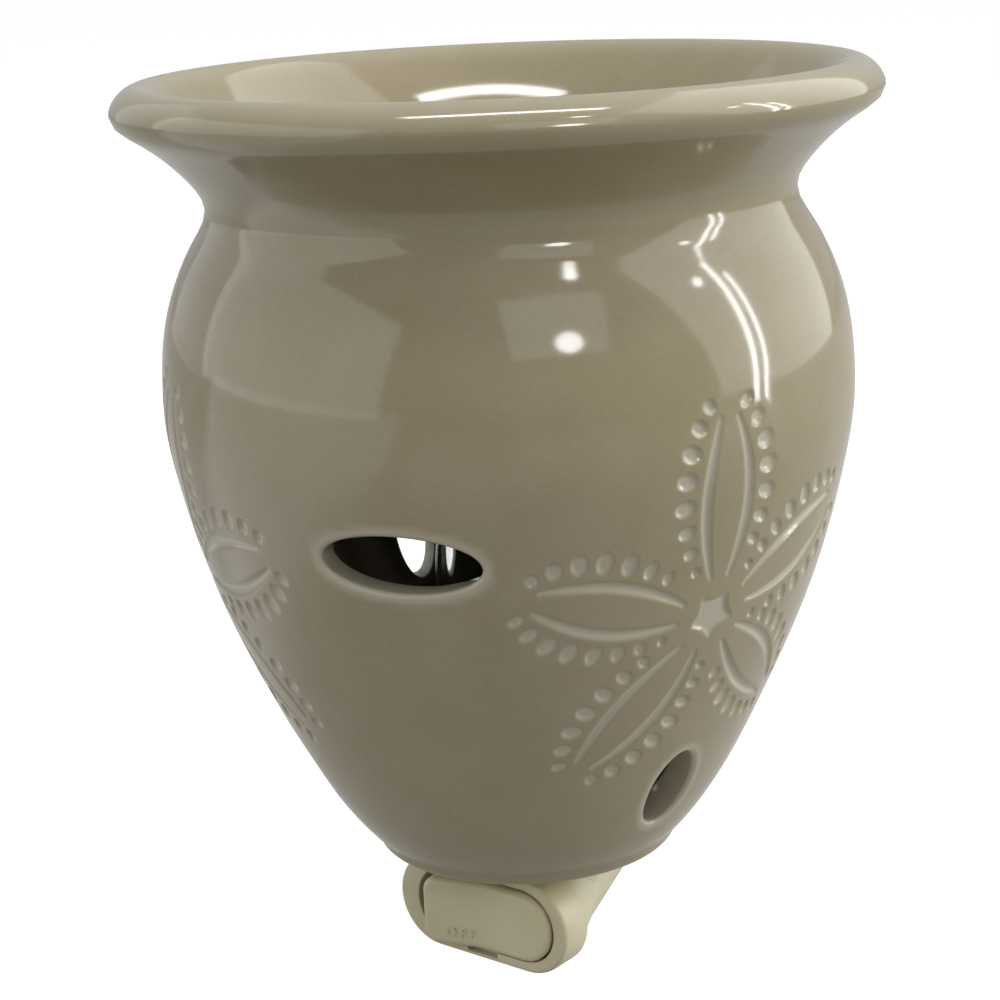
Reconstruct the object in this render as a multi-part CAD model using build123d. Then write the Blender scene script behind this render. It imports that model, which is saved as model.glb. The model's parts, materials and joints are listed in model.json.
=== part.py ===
"""Plug-in wax melt warmer: a glazed ceramic shade with its dish, on a lamp base that plugs into a wall.

Millimetres, +Z up. The origin is the centre of the plug's back face on the wall plane, +Y runs into the
wall and the front faces -Y. The lamp stands upright at axis_y and the shade drops over it.
"""
import os
from math import cos, radians, sin

from build123d import *

os.makedirs("parts", exist_ok=True)

# Whole product
wall_reach = 52.0            # wall plane to lamp axis, so that the lip clears the wall
foot_height = 9.0            # arm axis up to the plane that the shade stands on
axis_y = -wall_reach

# Ceramic shade, heights measured from its foot
shade_height = 104.5
foot_r = 20.8
foot_round = 1.5
foot_thickness = 8.0
foot_bore_r = 13.2
belly_r = 45.4
belly_height = 63.0
neck_r = 38.2
neck_height = 88.5
lip_r = 49.3
lip_height = 101.0
crest_r = 45.7
brim_r = 42.0
brim_drop = 2.6
dish_depth = 19.5
dish_floor_r = 23.0
dish_thickness = 3.8
wall = 4.2
cavity_floor_r = 19.5
body_curve_shares = ((0.104, 0.209), (0.328, 0.508), (0.584, 0.776), (0.840, 0.949))
shoulder_curve_shares = ((0.471, 0.181), (0.667, 0.429), (0.824, 0.724))
flare_curve_shares = ((0.280, 0.144), (0.440, 0.305), (0.760, 0.747))
bowl_curve_shares = ((0.29, 0.22), (0.63, 0.42), (0.92, 0.69))
roof_curve_shares = ((0.55, 0.30), (0.94, 0.62))

# Slots in the shade: length and height of each ellipse, centre height above the foot, place round the axis
front_slot_length = 19.4
front_slot_height = 8.0
front_slot_level = 50.9
front_slot_tilt = 7.0
low_slot_width = 6.8
low_slot_height = 11.2
low_slot_level = 14.1
low_slot_turn = 57.0
rear_slot_width = 7.6
rear_slot_height = 14.0
rear_slot_level = 35.0
rear_slot_turn = 136.0

# Lamp base housing: a round arm with an elbow under the lamp, split level through the arm axis
arm_r = 9.6
arm_wall = 1.7
flange_r = 16.5
flange_t = 1.0
flange_round = 0.3
collar_r = 9.9
collar_height = 15.0
tower_low = 2.0
socket_bore_r = 8.4
socket_ledge = 7.6
passage_r = 7.2
roof_level = 5.2
drum_r = 13.0
drum_depth = 10.4
drum_round = 3.0
drum_front_wall = 1.2
wall_gap = 0.6

# Swivel plug
disc_r = 11.0
disc_flange_r = 11.75
disc_flange_t = 2.4
disc_t = 6.6
drum_bore_r = 11.2
swivel_clearance = 0.07
groove_clearance = 0.15
blade_spacing = 12.7
blade_width = 6.35
blade_t = 1.5
blade_length = 17.0
blade_tip = 1.0
blade_hole_r = 1.6
blade_hole_from_tip = 5.1
strap_t = 0.8
strap_width = 4.0
hub_r = 2.0
hub_t = 1.2
slip_ring_in_r = 8.6
slip_ring_out_r = 10.4
slip_gap = 0.1

# Current strips
strip_t = 0.6
strip_width = 3.0
strip_offset = 4.5
strip_bend_y = 38.0
strip_join_y = 43.0

# Housing screws
screw_places = (33.0, 20.0)
post_r = 2.4
screw_head_r = 2.0
screw_head_t = 1.4
screw_recess_r = 2.15
screw_recess_depth = 2.2
screw_shank_r = 1.0
screw_hole_r = 1.2
screw_grip = 4.2

# Switch on the front of the elbow, turned from the front about the lamp axis
switch_turn = -20.5
switch_face = 11.1
case_length = 29.0
case_height = 13.6
case_front_depth = 5.2
case_edge = 0.7
window_length = 24.8
window_height = 10.5
window_depth = 4.65
notch_width = 5.2
notch_height = 0.9
notch_depth = 1.2
spigot_length = 19.0
spigot_height = 11.0
spigot_depth = 6.4
spigot_wall = 1.3
case_floor = 1.4
pocket_clearance = 0.1
root_length = 27.6
root_height = 13.0
root_tail_length = 17.0
root_tail_height = 12.0
root_depth = 11.0

# Rocker, pivoting on an upright pin
pin_depth = 2.6
pin_r = 1.0
pin_clearance = 0.05
pin_bite = 0.95
rocker_height = 9.8
rocker_rise = 0.3
rocker_tilt = 9.0
rocker_right = 11.8
rocker_left_lobe = 8.3
lobe_t = 2.6
hub_boss_r = 1.9
rocker_round_right = 4.6
rocker_round_left = 1.0
stem_width = 1.6
stem_height = 2.4
bridge_left = 1.2
bridge_right = 5.0
bridge_level = 5.9
bridge_t = 0.4
bridge_width = 3.0
contact_gap = 0.3
contact_t = 0.4
line_leg_u = -2.9
lamp_leg_u = 5.5
line_pad = 3.5
lamp_pad = 2.1
leg_t = 0.6
leg_reach = 15.5

# Lamp socket
insulator_floor = 1.4
insulator_bore_r = 7.0
insulator_top_drop = 0.5
shell_in_r = 6.25
shell_bottom = 11.0
shell_height = 13.0
plate_t = 0.6
plate_margin = 1.5
bump_r = 1.2
bump_height = 0.8
tail_back = 4.2
tail_front = 1.2
lug_left = 0.5
lug_right = 3.5
lug_back = 6.0
lug_overlap = 0.3

# Shade spring clips
clip_t = 0.5
clip_width = 5.0
clip_low = 0.6
clip_straight = 3.4
clip_bow_r = 12.55
clip_bow_height = 7.8
clip_top_height = 12.5
clip_top_r = 10.4
clip_screw_height = 2.3
clip_screw_head_r = 1.4
clip_screw_head_t = 0.9
clip_screw_shank_r = 0.8
clip_screw_end = 0.1

# Bulb
bulb_gap = 0.15
tip_r = 2.0
tip_t = 0.95
cap_cone_r = 2.6
cap_cone_t = 1.5
cap_r = 5.9
cap_t = 0.35
cap_height = 12.7
cap_clearance = 0.05
glass_overlap = 3.0
glass_r = 11.0
glass_length = 41.8
glass_t = 0.8
glass_wide_share = 0.52
glass_curve_shares = ((0.20, 0.30), (0.34, 0.80))
glass_tip_shares = ((0.62, 0.80), (0.93, 0.36))
stem_r = 2.2
stem_glass_height = 9.0
stem_foot_t = 1.2
lead_r = 0.3
lead_foot_x = 1.3
lead_top_x = 4.0
lead_rise = 13.5
filament_r = 0.25
filament_rise = 2.5

cut_extra = 1.0              # overrun of the cutting tools past the faces that they cut


def at_lamp(shape, level=0):
    """Move a shape from the Z axis to the lamp axis."""
    return Pos(0, axis_y, level) * shape


def at_switch(shape):
    """Move a shape from the switch frame, where -Y is the switch's outward normal, to its place."""
    return Pos(0, axis_y, 0) * Rot(0, 0, switch_turn) * shape


def stadium(length, height, n_from, n_to):
    """Level stadium prism between two distances along the outward normal."""
    return extrude(Plane.XZ.offset(n_from) * SlotOverall(length, height), n_to - n_from)


def block(x0, x1, y0, y1, z0, z1):
    """Box between two corners."""
    return Pos(x0, y0, z0) * Box(x1 - x0, y1 - y0, z1 - z0, align=(Align.MIN, Align.MIN, Align.MIN))


def tube(r, z0, z1):
    """Upright cylinder between two levels."""
    return Pos(0, 0, z0) * Cylinder(r, z1 - z0, align=(Align.CENTER, Align.CENTER, Align.MIN))


def rod_y(r, y0, y1):
    """Cylinder along Y between two places."""
    return Pos(0, y0, 0) * Rot(-90, 0, 0) * Cylinder(r, y1 - y0, align=(Align.CENTER, Align.CENTER, Align.MIN))


def curve_points(start, end, shares):
    """Points between two ends: each share pair is (height share, radius share)."""
    run = end[1] - start[1]
    swell = end[0] - start[0]
    return [(start[0] + swell * r_share, start[1] + run * h_share) for h_share, r_share in shares]


# Ceramic shade
foot = (foot_r, foot_round)
belly = (belly_r, belly_height)
neck = (neck_r, neck_height)
lip = (lip_r, lip_height)
crest = (crest_r, shade_height)
brim = (brim_r, shade_height - brim_drop)
dish_floor = (dish_floor_r, shade_height - dish_depth)
body_points = curve_points(foot, belly, body_curve_shares)
shoulder_points = curve_points(belly, neck, shoulder_curve_shares)
flare_points = curve_points(neck, lip, flare_curve_shares)
bowl_points = curve_points(brim, dish_floor, bowl_curve_shares)
outer_outline = [
    Line((0, 0), (foot_r - foot_round, 0)),
    RadiusArc((foot_r - foot_round, 0), foot, -foot_round),
    Spline(foot, *body_points, belly, tangents=((1, 1), (0, 1))),
    Spline(belly, *shoulder_points, neck, tangents=((0, 1), (0, 1))),
    Spline(neck, *flare_points, lip, tangents=((0, 1), (0, 1))),
    Spline(lip, crest, brim, tangents=((0, 1), (-1, -1))),
    Spline(brim, *bowl_points, dish_floor, tangents=((-1, -1), (-1, 0))),
    Line(dish_floor, (0, dish_floor[1])),
    Line((0, dish_floor[1]), (0, 0)),
]
shade_blank = revolve(Plane.XZ * make_face(outer_outline), Axis.Z)

cavity_floor = (cavity_floor_r, foot_thickness)
cavity_belly = (belly_r - wall, belly_height)
cavity_body = [(r - wall, h) for r, h in body_points[1:]]
cavity_shoulder = (shoulder_points[0][0] - wall, shoulder_points[0][1])
roof_height = shade_height - dish_depth - dish_thickness
roof_edge = (dish_floor_r + wall, roof_height)
roof_points = curve_points(cavity_shoulder, roof_edge, roof_curve_shares)
cavity_outline = [
    Line((0, -cut_extra), (foot_bore_r, -cut_extra)),
    Line((foot_bore_r, -cut_extra), (foot_bore_r, foot_thickness)),
    Line((foot_bore_r, foot_thickness), cavity_floor),
    Spline(cavity_floor, *cavity_body, cavity_belly, tangents=((1, 1), (0, 1))),
    Spline(cavity_belly, cavity_shoulder, *roof_points, roof_edge, tangents=((0, 1), (-1, 0))),
    Line(roof_edge, (0, roof_height)),
    Line((0, roof_height), (0, -cut_extra)),
]
cavity = revolve(Plane.XZ * make_face(cavity_outline), Axis.Z)
shade = shade_blank - cavity


def slot_cutter(width, height, level, turn, tilt=0):
    """Elliptical prism through one side of the shade."""
    face = Plane.XZ * Rot(0, 0, -tilt) * Ellipse(width / 2, height / 2)
    return Rot(0, 0, turn) * Pos(0, 0, level) * extrude(face, lip_r)


slot_cutters = [slot_cutter(front_slot_length, front_slot_height, front_slot_level, 0, front_slot_tilt)]
for side in (-1, 1):
    slot_cutters.append(slot_cutter(low_slot_width, low_slot_height, low_slot_level, side * low_slot_turn))
    slot_cutters.append(slot_cutter(rear_slot_width, rear_slot_height, rear_slot_level, side * rear_slot_turn))
for cutter in slot_cutters:
    shade = shade - cutter
ceramic_shade = at_lamp(shade, foot_height)

# Housing: outside form
arm_top = foot_height - flange_t
drum_y0 = -wall_gap - drum_depth
collar_top = foot_height + collar_height


def round_arm(r, y_end):
    """Round bar along Y with a half-round end under the lamp."""
    outline = [
        RadiusArc((0, axis_y - r), (r, axis_y), -r),
        Line((r, axis_y), (r, y_end)),
        Line((r, y_end), (0, y_end)),
        Line((0, y_end), (0, axis_y - r)),
    ]
    return revolve(make_face(outline), Axis.Y)


arm_outside = round_arm(arm_r, drum_y0 + drum_round)
arm_outside = arm_outside - block(-flange_r, flange_r, axis_y - flange_r, 0, arm_top, collar_top)
tower = tube(collar_r, tower_low, collar_top)
flange = tube(flange_r, arm_top, foot_height)
flange = fillet(flange.edges().filter_by(GeomType.CIRCLE), flange_round)
drum = rod_y(drum_r, drum_y0, -wall_gap)
drum = fillet(drum.edges().filter_by(GeomType.CIRCLE).sort_by(Axis.Y)[0], drum_round)
case_back = switch_face - case_front_depth
root = loft([
    Plane.XZ.offset(case_back) * SlotOverall(root_length, root_height),
    Plane.XZ.offset(case_back - root_depth) * SlotOverall(root_tail_length, root_tail_height),
])
housing = arm_outside + at_lamp(tower) + at_lamp(flange) + drum + at_switch(root)

# Housing: inside
bore_r = arm_r - arm_wall
groove_back = disc_flange_t - disc_t + groove_clearance
groove_front = -disc_t - groove_clearance
arm_bore = round_arm(bore_r, drum_y0 + cut_extra + drum_front_wall)
arm_bore = arm_bore - block(-flange_r, flange_r, axis_y - flange_r, 0, roof_level, collar_top)
for tool in (
    arm_bore,
    rod_y(drum_bore_r, drum_y0 + drum_front_wall, groove_front + groove_clearance),
    rod_y(disc_flange_r + groove_clearance, groove_front, groove_back),
    rod_y(disc_r + swivel_clearance, groove_back - groove_clearance, cut_extra),
    at_lamp(tube(socket_bore_r, socket_ledge, collar_top + cut_extra)),
    at_lamp(tube(passage_r, roof_level - arm_wall, socket_ledge + arm_wall)),
    at_switch(stadium(
        spigot_length + 2 * pocket_clearance,
        spigot_height + 2 * pocket_clearance,
        case_back - spigot_depth - pocket_clearance,
        case_back + cut_extra,
    )),
    at_switch(stadium(
        case_length + 2 * pocket_clearance,
        case_height + 2 * pocket_clearance,
        case_back,
        switch_face + cut_extra,
    )),
):
    housing = housing - tool
for place in screw_places:
    post = tube(post_r, -bore_r - arm_wall / 2, roof_level + flange_t / 2)
    post = post - tube(screw_recess_r, -arm_r - cut_extra, screw_recess_depth - arm_r)
    housing = housing + Pos(0, -place, 0) * post
    housing = housing - Pos(0, -place, 0) * tube(screw_recess_r, -arm_r - cut_extra, screw_recess_depth - arm_r)
    housing = housing - Pos(0, -place, 0) * tube(screw_hole_r, -screw_recess_depth - bore_r, 0)
    housing = housing - Pos(0, -place, 0) * tube(screw_shank_r, -cut_extra, screw_grip)
for side in (-1, 1):
    hole = Pos(0, axis_y, foot_height + clip_low + clip_screw_height) * Rot(0, side * 90, 0)
    housing = housing - hole * Cylinder(
        clip_screw_shank_r, collar_r + cut_extra, align=(Align.CENTER, Align.CENTER, Align.MIN))
housing_upper = split(housing, Plane.XY, keep=Keep.TOP)
housing_lower = split(housing, Plane.XY, keep=Keep.BOTTOM)

# Housing screws, driven from below into the upper half
screw = tube(screw_head_r, screw_recess_depth - arm_r - screw_head_t, screw_recess_depth - arm_r)
screw = screw + tube(screw_shank_r, screw_recess_depth - arm_r, screw_grip)
housing_screws = Compound([Pos(0, -place, 0) * screw for place in screw_places])

# Swivel plug: disc with captured flange, blades, straps and slip contacts
blade_x = blade_spacing / 2
half_blade = blade_width / 2
plug_disc = rod_y(disc_r, -disc_t, 0) + rod_y(disc_flange_r, -disc_t, disc_flange_t - disc_t)


def blade(side):
    """Flat blade through the disc with a trimmed tip and the round hole near it."""
    bar = block(side * blade_x - blade_t / 2, side * blade_x + blade_t / 2, -disc_t, blade_length,
                -half_blade, half_blade)
    bar = chamfer(bar.edges().filter_by(Axis.X).sort_by(Axis.Y)[-2:], blade_tip)
    hole = Pos(side * blade_x, blade_length - blade_hole_from_tip, 0) * Rot(0, 90, 0)
    return bar - hole * Cylinder(blade_hole_r, blade_t + cut_extra)


line_bar = blade(-1)
neutral_bar = blade(1)
plug_disc = plug_disc - line_bar - neutral_bar
front_y = -disc_t - strap_t
line_strap = block(-blade_x - blade_t / 2, hub_r, front_y, -disc_t, -strap_width / 2, strap_width / 2)
neutral_strap = block(blade_x - blade_t / 2, slip_ring_out_r - blade_t / 2, front_y, -disc_t,
                      -strap_width / 2, strap_width / 2)
blade_line = line_bar + line_strap
blade_neutral = neutral_bar + neutral_strap
contact_y = front_y - hub_t
hub_contact = rod_y(hub_r, contact_y, front_y)
slip_ring = rod_y(slip_ring_out_r, contact_y, front_y) - rod_y(slip_ring_in_r, contact_y - cut_extra, 0)


# Switch case: one moulding with the rim, the window and the spigot that enters the elbow
spigot_back = case_back - spigot_depth
case_front = stadium(case_length, case_height, case_back, switch_face)
front_edges = case_front.edges().group_by(Axis.Y)[0]
case_front = fillet(front_edges, case_edge)
switch_case = case_front + stadium(spigot_length, spigot_height, spigot_back, case_back)
switch_case = switch_case - stadium(window_length, window_height, switch_face - window_depth,
                                    switch_face + cut_extra)
switch_case = switch_case - stadium(spigot_length - 2 * spigot_wall, spigot_height - 2 * spigot_wall,
                                    spigot_back + case_floor, switch_face)
switch_case = switch_case - block(-notch_width / 2, notch_width / 2, -switch_face - cut_extra,
                                  notch_depth - switch_face, -window_height / 2 - notch_height,
                                  window_height / 2 + notch_height)
pin_y = pin_depth - switch_face
pin_half = window_height / 2 + pin_bite
pin_place = Pos(0, pin_y, 0)
rocker_pin_local = pin_place * tube(pin_r, -pin_half, pin_half)
switch_case = switch_case - rocker_pin_local


def leg(middle, pad_from, pad_to):
    """Terminal leg with the pad that the bridge meets."""
    pad_y = bridge_level + bridge_t + contact_gap - switch_face
    upright = block(middle - leg_t / 2, middle + leg_t / 2, pad_y, leg_reach - switch_face,
                    -strip_width / 2, strip_width / 2)
    pad = block(pad_from, pad_to, pad_y, pad_y + contact_t, -strip_width / 2, strip_width / 2)
    return upright + pad


line_left = line_leg_u - leg_t / 2
lamp_right = lamp_leg_u + leg_t / 2
line_leg = leg(line_leg_u, line_left, line_left + line_pad)
lamp_leg = leg(lamp_leg_u, lamp_right - lamp_pad, lamp_right)
switch_case = switch_case - line_leg - lamp_leg

# Rocker: two lobes in a shallow V, drawn with the pin at the origin and the lobes evenly raised
tilt = radians(rocker_tilt)
lobe_level = pin_depth + rocker_rise
valley = lobe_level / cos(tilt)
right_lobe = rocker_right - valley * sin(tilt)


def lobe_end(length, side):
    """Outer and inner corner of one lobe."""
    outer = (side * length * cos(tilt), -valley - length * sin(tilt))
    inner = (outer[0] + side * lobe_t * sin(tilt), outer[1] + lobe_t * cos(tilt))
    return outer, inner


right_outer, right_inner = lobe_end(right_lobe, 1)
left_outer, left_inner = lobe_end(rocker_left_lobe, -1)
hub_side = hub_boss_r - pin_r / 2
rocker_outline = Polyline(
    (0, -valley), right_outer, right_inner, (hub_side, 0), (-hub_side, 0), left_inner, left_outer, close=True)
half_rocker = rocker_height / 2
rocker_body = extrude(Plane.XY.offset(-half_rocker) * make_face(rocker_outline), rocker_height)
rocker_body = rocker_body + tube(hub_boss_r, -half_rocker, half_rocker)
rocker_plan = Pos(0, -valley, 0) * block(
    left_inner[0], right_inner[0], -lobe_t * 2, lobe_t + valley + hub_boss_r, -half_rocker, half_rocker)
plan_edges = rocker_plan.edges().filter_by(Axis.Y).sort_by(Axis.X)
rocker_plan = fillet(plan_edges[:2], rocker_round_left)
rocker_plan = fillet(rocker_plan.edges().filter_by(Axis.Y).sort_by(Axis.X)[-2:], rocker_round_right)
rocker_body = rocker_body & rocker_plan
rocker_body = Rot(0, 0, rocker_tilt) * rocker_body
stem = block(-stem_width / 2, stem_width / 2, 0, bridge_level - pin_depth, -stem_height / 2, stem_height / 2)
rocker_body = rocker_body + stem
rocker_local = pin_place * (rocker_body - tube(pin_r + pin_clearance, -half_rocker - cut_extra,
                                               half_rocker + cut_extra))
bridge_local = block(-bridge_left, bridge_right, bridge_level - switch_face,
                     bridge_level + bridge_t - switch_face, -bridge_width / 2, bridge_width / 2)

# Lamp socket: insulating cup, screw shell with its lug, centre contact with its tail
insulator_top = collar_top - insulator_top_drop
cup_floor = socket_ledge + insulator_floor
insulator = tube(socket_bore_r, socket_ledge, insulator_top)
insulator = insulator - tube(insulator_bore_r, cup_floor, collar_top)
lug = block(lug_left, lug_right, lug_back - strip_t, lug_back, -strip_width / 2, shell_bottom + lug_overlap)
lug = lug - tube(shell_in_r, shell_bottom, collar_top)
shell_top = shell_bottom + shell_height
shell = tube(insulator_bore_r, shell_bottom, shell_top) - tube(shell_in_r, shell_bottom - cut_extra, collar_top)
shell = shell + lug
tail_u = lamp_leg_u - leg_t / 2
plate = block(-plate_margin, tail_u, -plate_margin, tail_back, cup_floor, cup_floor + plate_t)
bump = tube(bump_r, cup_floor, cup_floor + plate_t + bump_height)
tail = block(tail_u - strip_t, tail_u, tail_front, tail_back, -strip_width / 2, cup_floor + plate_t)
turned_contact = Rot(0, 0, switch_turn) * (plate + bump + tail)
insulator = insulator - lug - Rot(0, 0, switch_turn) * tail
plate_top = cup_floor + plate_t + bump_height


# Strips, bent from flat brass on edge: plug to switch, and plug to screw shell
def switch_point(u, back):
    """Plan point in the part's frame from the switch frame."""
    turn = radians(switch_turn)
    return (u * cos(turn) - back * sin(turn), axis_y + u * sin(turn) + back * cos(turn))


def strip(points):
    """Flat strip on edge along a plan path."""
    face = trace(Polyline(*points), strip_t)
    return extrude(Plane.XY.offset(-strip_width / 2) * face, strip_width)


wiper_y = contact_y - slip_gap - strip_t / 2
leg_end = leg_reach - switch_face
line_strip = strip([
    (hub_r - strip_t / 2, wiper_y),
    (-strip_offset, wiper_y),
    (-strip_offset, -strip_bend_y),
    switch_point(line_leg_u, leg_end + strip_width),
    switch_point(line_leg_u, leg_end),
])
lug_middle = (lug_left + lug_right) / 2
neutral_strip = strip([
    (slip_ring_out_r - strip_t / 2, wiper_y),
    (strip_offset, wiper_y),
    (strip_offset, -strip_bend_y),
    (lug_middle, -strip_join_y),
    (lug_middle, axis_y + lug_back),
])

# Shade spring clips on the collar, bowed out inside the foot's bore
clip_line_r = collar_r + clip_t / 2
clip_bottom = foot_height + clip_low
clip_path = Spline(
    (clip_line_r, clip_bottom + clip_straight),
    (clip_bow_r, foot_height + clip_bow_height),
    (clip_top_r, foot_height + clip_top_height),
    tangents=((0, 1), (-1, 1)),
)
clip_wire = Line((clip_line_r, clip_bottom), (clip_line_r, clip_bottom + clip_straight)) + clip_path
clip_face = Plane.XZ * trace(clip_wire, clip_t)
clip = Pos(0, clip_width / 2, 0) * extrude(clip_face, clip_width)
clip_hole = Pos(0, 0, clip_bottom + clip_screw_height) * Rot(0, 90, 0) * Cylinder(
    clip_screw_shank_r, clip_bow_r, align=(Align.CENTER, Align.CENTER, Align.MIN))
clip = clip - clip_hole
clip_screw = Cylinder(clip_screw_head_r, clip_screw_head_t, align=(Align.CENTER, Align.CENTER, Align.MIN))
clip_screw = Pos(0, 0, collar_r + clip_t) * clip_screw
shank_start = socket_bore_r + clip_screw_end
clip_screw = clip_screw + tube(clip_screw_shank_r, shank_start, collar_r + clip_t)
clip_screw = Pos(0, 0, clip_bottom + clip_screw_height) * Rot(0, 90, 0) * clip_screw

# Bulb: tip, cap insulator, screw cap, envelope, stem, leads and filament
tip_bottom = plate_top + bulb_gap
cone_bottom = tip_bottom + tip_t
cap_bottom = cone_bottom + cap_cone_t
cap_top = cap_bottom + cap_height
glass_bottom = cap_top - glass_overlap
glass_top = glass_bottom + glass_length
bulb_tip = tube(tip_r, tip_bottom, cone_bottom)
bulb_insulator = Pos(0, 0, cone_bottom) * Cone(
    cap_cone_r, cap_r, cap_cone_t, align=(Align.CENTER, Align.CENTER, Align.MIN))
cap_in_r = cap_r - cap_t
bulb_cap = tube(cap_r, cap_bottom, cap_top) - tube(cap_in_r, cap_bottom - cut_extra, cap_top + cut_extra)
glass_neck_r = cap_in_r - cap_clearance


def envelope(inset):
    """Revolved envelope, inset from its outer surface."""
    low = glass_bottom
    span = glass_length - glass_overlap
    start = (glass_neck_r - inset, cap_top)
    wide = (glass_r - inset, cap_top + span * glass_wide_share)
    top = (0, glass_top - inset)
    rise_points = curve_points(start, wide, glass_curve_shares)
    tip_points = [(wide[0] * r_share, wide[1] + (top[1] - wide[1]) * h_share) for h_share, r_share in
                  ((h, r) for h, r in glass_tip_shares)]
    outline = [
        Line((0, low), (start[0], low)),
        Line((start[0], low), start),
        Spline(start, rise_points[0], wide, tangents=((0, 1), (0, 1))),
        Spline(wide, *tip_points, top, tangents=((0, 1), (-1, 0))),
        Line(top, (0, low)),
    ]
    return revolve(Plane.XZ * make_face(outline), Axis.Z)


bulb_glass = envelope(0) - envelope(glass_t)
stem_foot = tube(glass_neck_r - glass_t - cap_clearance, glass_bottom, glass_bottom + stem_foot_t)
stem_top = glass_bottom + stem_glass_height
bulb_stem = stem_foot + tube(stem_r, glass_bottom, stem_top)
lead_top = stem_top + lead_rise
leads = []
for side in (-1, 1):
    foot_point = Vector(side * lead_foot_x, 0, stem_top)
    top_point = Vector(side * lead_top_x, 0, lead_top)
    run = Edge.make_line(foot_point, top_point)
    leads.append(sweep(Plane(origin=foot_point, z_dir=(0, 0, 1)) * Circle(lead_r), run))
bulb_leads = Compound(leads)
arc_level = lead_top + filament_r
filament_path = ThreePointArc(
    (-lead_top_x, 0, arc_level), (0, 0, arc_level + filament_rise), (lead_top_x, 0, arc_level))
bulb_filament = sweep(Plane(origin=filament_path @ 0, z_dir=filament_path % 0) * Circle(filament_r), filament_path)

nodes = {
    "ceramic_shade": ceramic_shade,
    "housing_upper": housing_upper,
    "housing_lower": housing_lower,
    "housing_screws": housing_screws,
    "switch_case": at_switch(switch_case),
    "switch_rocker": at_switch(rocker_local),
    "rocker_bridge": at_switch(bridge_local),
    "rocker_pin": at_switch(rocker_pin_local),
    "terminal_line": at_switch(line_leg),
    "terminal_lamp": at_switch(lamp_leg),
    "strip_line": line_strip,
    "strip_neutral": neutral_strip,
    "socket_insulator": at_lamp(insulator),
    "socket_shell": at_lamp(shell),
    "socket_centre_contact": at_lamp(turned_contact),
    "shade_clip_right": at_lamp(clip),
    "shade_clip_left": at_lamp(Rot(0, 0, 180) * clip),
    "clip_screws": Compound([at_lamp(clip_screw), at_lamp(Rot(0, 0, 180) * clip_screw)]),
    "plug_disc": plug_disc,
    "blade_line": blade_line,
    "blade_neutral": blade_neutral,
    "hub_contact": hub_contact,
    "slip_ring": slip_ring,
    "bulb_cap": at_lamp(bulb_cap),
    "bulb_insulator": at_lamp(bulb_insulator),
    "bulb_tip": at_lamp(bulb_tip),
    "bulb_glass": at_lamp(bulb_glass),
    "bulb_stem": at_lamp(bulb_stem),
    "bulb_leads": at_lamp(bulb_leads),
    "bulb_filament": at_lamp(bulb_filament),
}
for name, shape in nodes.items():
    export_step(shape, f"parts/{name}.step")
    print(f"{name}: {len(shape.solids())} solids, {shape.volume:.1f} mm3")
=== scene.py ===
"""Looks of the plug-in wax melt warmer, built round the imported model.

Sizes in the classes are millimetres, and a mesh is made in metres. The lamp axis stands 52 mm in front
of the wall plane, the shade's foot is 9 mm above the arm axis, and the front faces -Y.
"""
import json
import logging
import math
from dataclasses import dataclass
from enum import Enum
from functools import partial
from typing import Any, Callable, Sequence

import bmesh
import bpy
import numpy as np
from mathutils import Matrix, Vector


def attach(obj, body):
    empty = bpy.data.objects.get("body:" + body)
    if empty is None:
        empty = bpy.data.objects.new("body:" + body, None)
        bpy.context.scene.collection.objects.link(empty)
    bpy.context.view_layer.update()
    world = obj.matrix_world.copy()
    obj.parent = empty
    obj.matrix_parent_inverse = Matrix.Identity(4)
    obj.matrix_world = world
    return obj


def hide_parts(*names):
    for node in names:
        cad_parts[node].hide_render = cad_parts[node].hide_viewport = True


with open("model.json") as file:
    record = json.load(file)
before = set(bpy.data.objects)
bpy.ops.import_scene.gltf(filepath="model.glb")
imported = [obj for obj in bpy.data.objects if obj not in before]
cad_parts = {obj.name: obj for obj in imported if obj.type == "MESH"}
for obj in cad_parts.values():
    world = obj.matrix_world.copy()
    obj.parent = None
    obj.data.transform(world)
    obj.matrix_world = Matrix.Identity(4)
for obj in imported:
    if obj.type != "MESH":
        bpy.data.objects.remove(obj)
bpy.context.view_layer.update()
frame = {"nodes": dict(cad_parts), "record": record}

MM = 0.001
LAMP_AXIS_Y = -52.0
FOOT_LEVEL = 9.0
SWITCH_TURN = -20.5
SAME_POINT = 0.001 * MM  # points closer than this are one
FAR = 1e3  # a distance in millimetres beyond every test
EVEN_PASSES = 6  # how often the points round a slot are evened out
TINY = 1e-9  # keeps a divisor from being 0
ORDER = "order"  # the attribute with a point's number in its ring
log = logging.getLogger("warmer")

Point = tuple[float, float]
Spot = tuple[float, float, float]
Colour = tuple[float, float, float, float]
Row = tuple[float, ...]
Grid = np.ndarray
Places = Sequence[Any]
Thing = bpy.types.Object
Mesh = bpy.types.Mesh

AT_LAMP = Matrix.Translation(Vector((0, LAMP_AXIS_Y, 0)) * MM)
AT_SWITCH = AT_LAMP @ Matrix.Rotation(math.radians(SWITCH_TURN), 4, "Z")
IN_PLACE = Matrix.Identity(4)


def tone(red: float, green: float, blue: float) -> Colour:
    """Turn a colour as seen on a screen into the linear one that a shader takes.

    Args:
        red: Red from 0 to 255.
        green: Green from 0 to 255.
        blue: Blue from 0 to 255.

    Returns:
        The linear colour with an alpha of 1.
    """
    shares = [part / 255.0 for part in (red, green, blue)]
    linear = [s / 12.92 if s <= 0.04045 else ((s + 0.055) / 1.055) ** 2.4 for s in shares]
    return (linear[0], linear[1], linear[2], 1.0)


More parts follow.
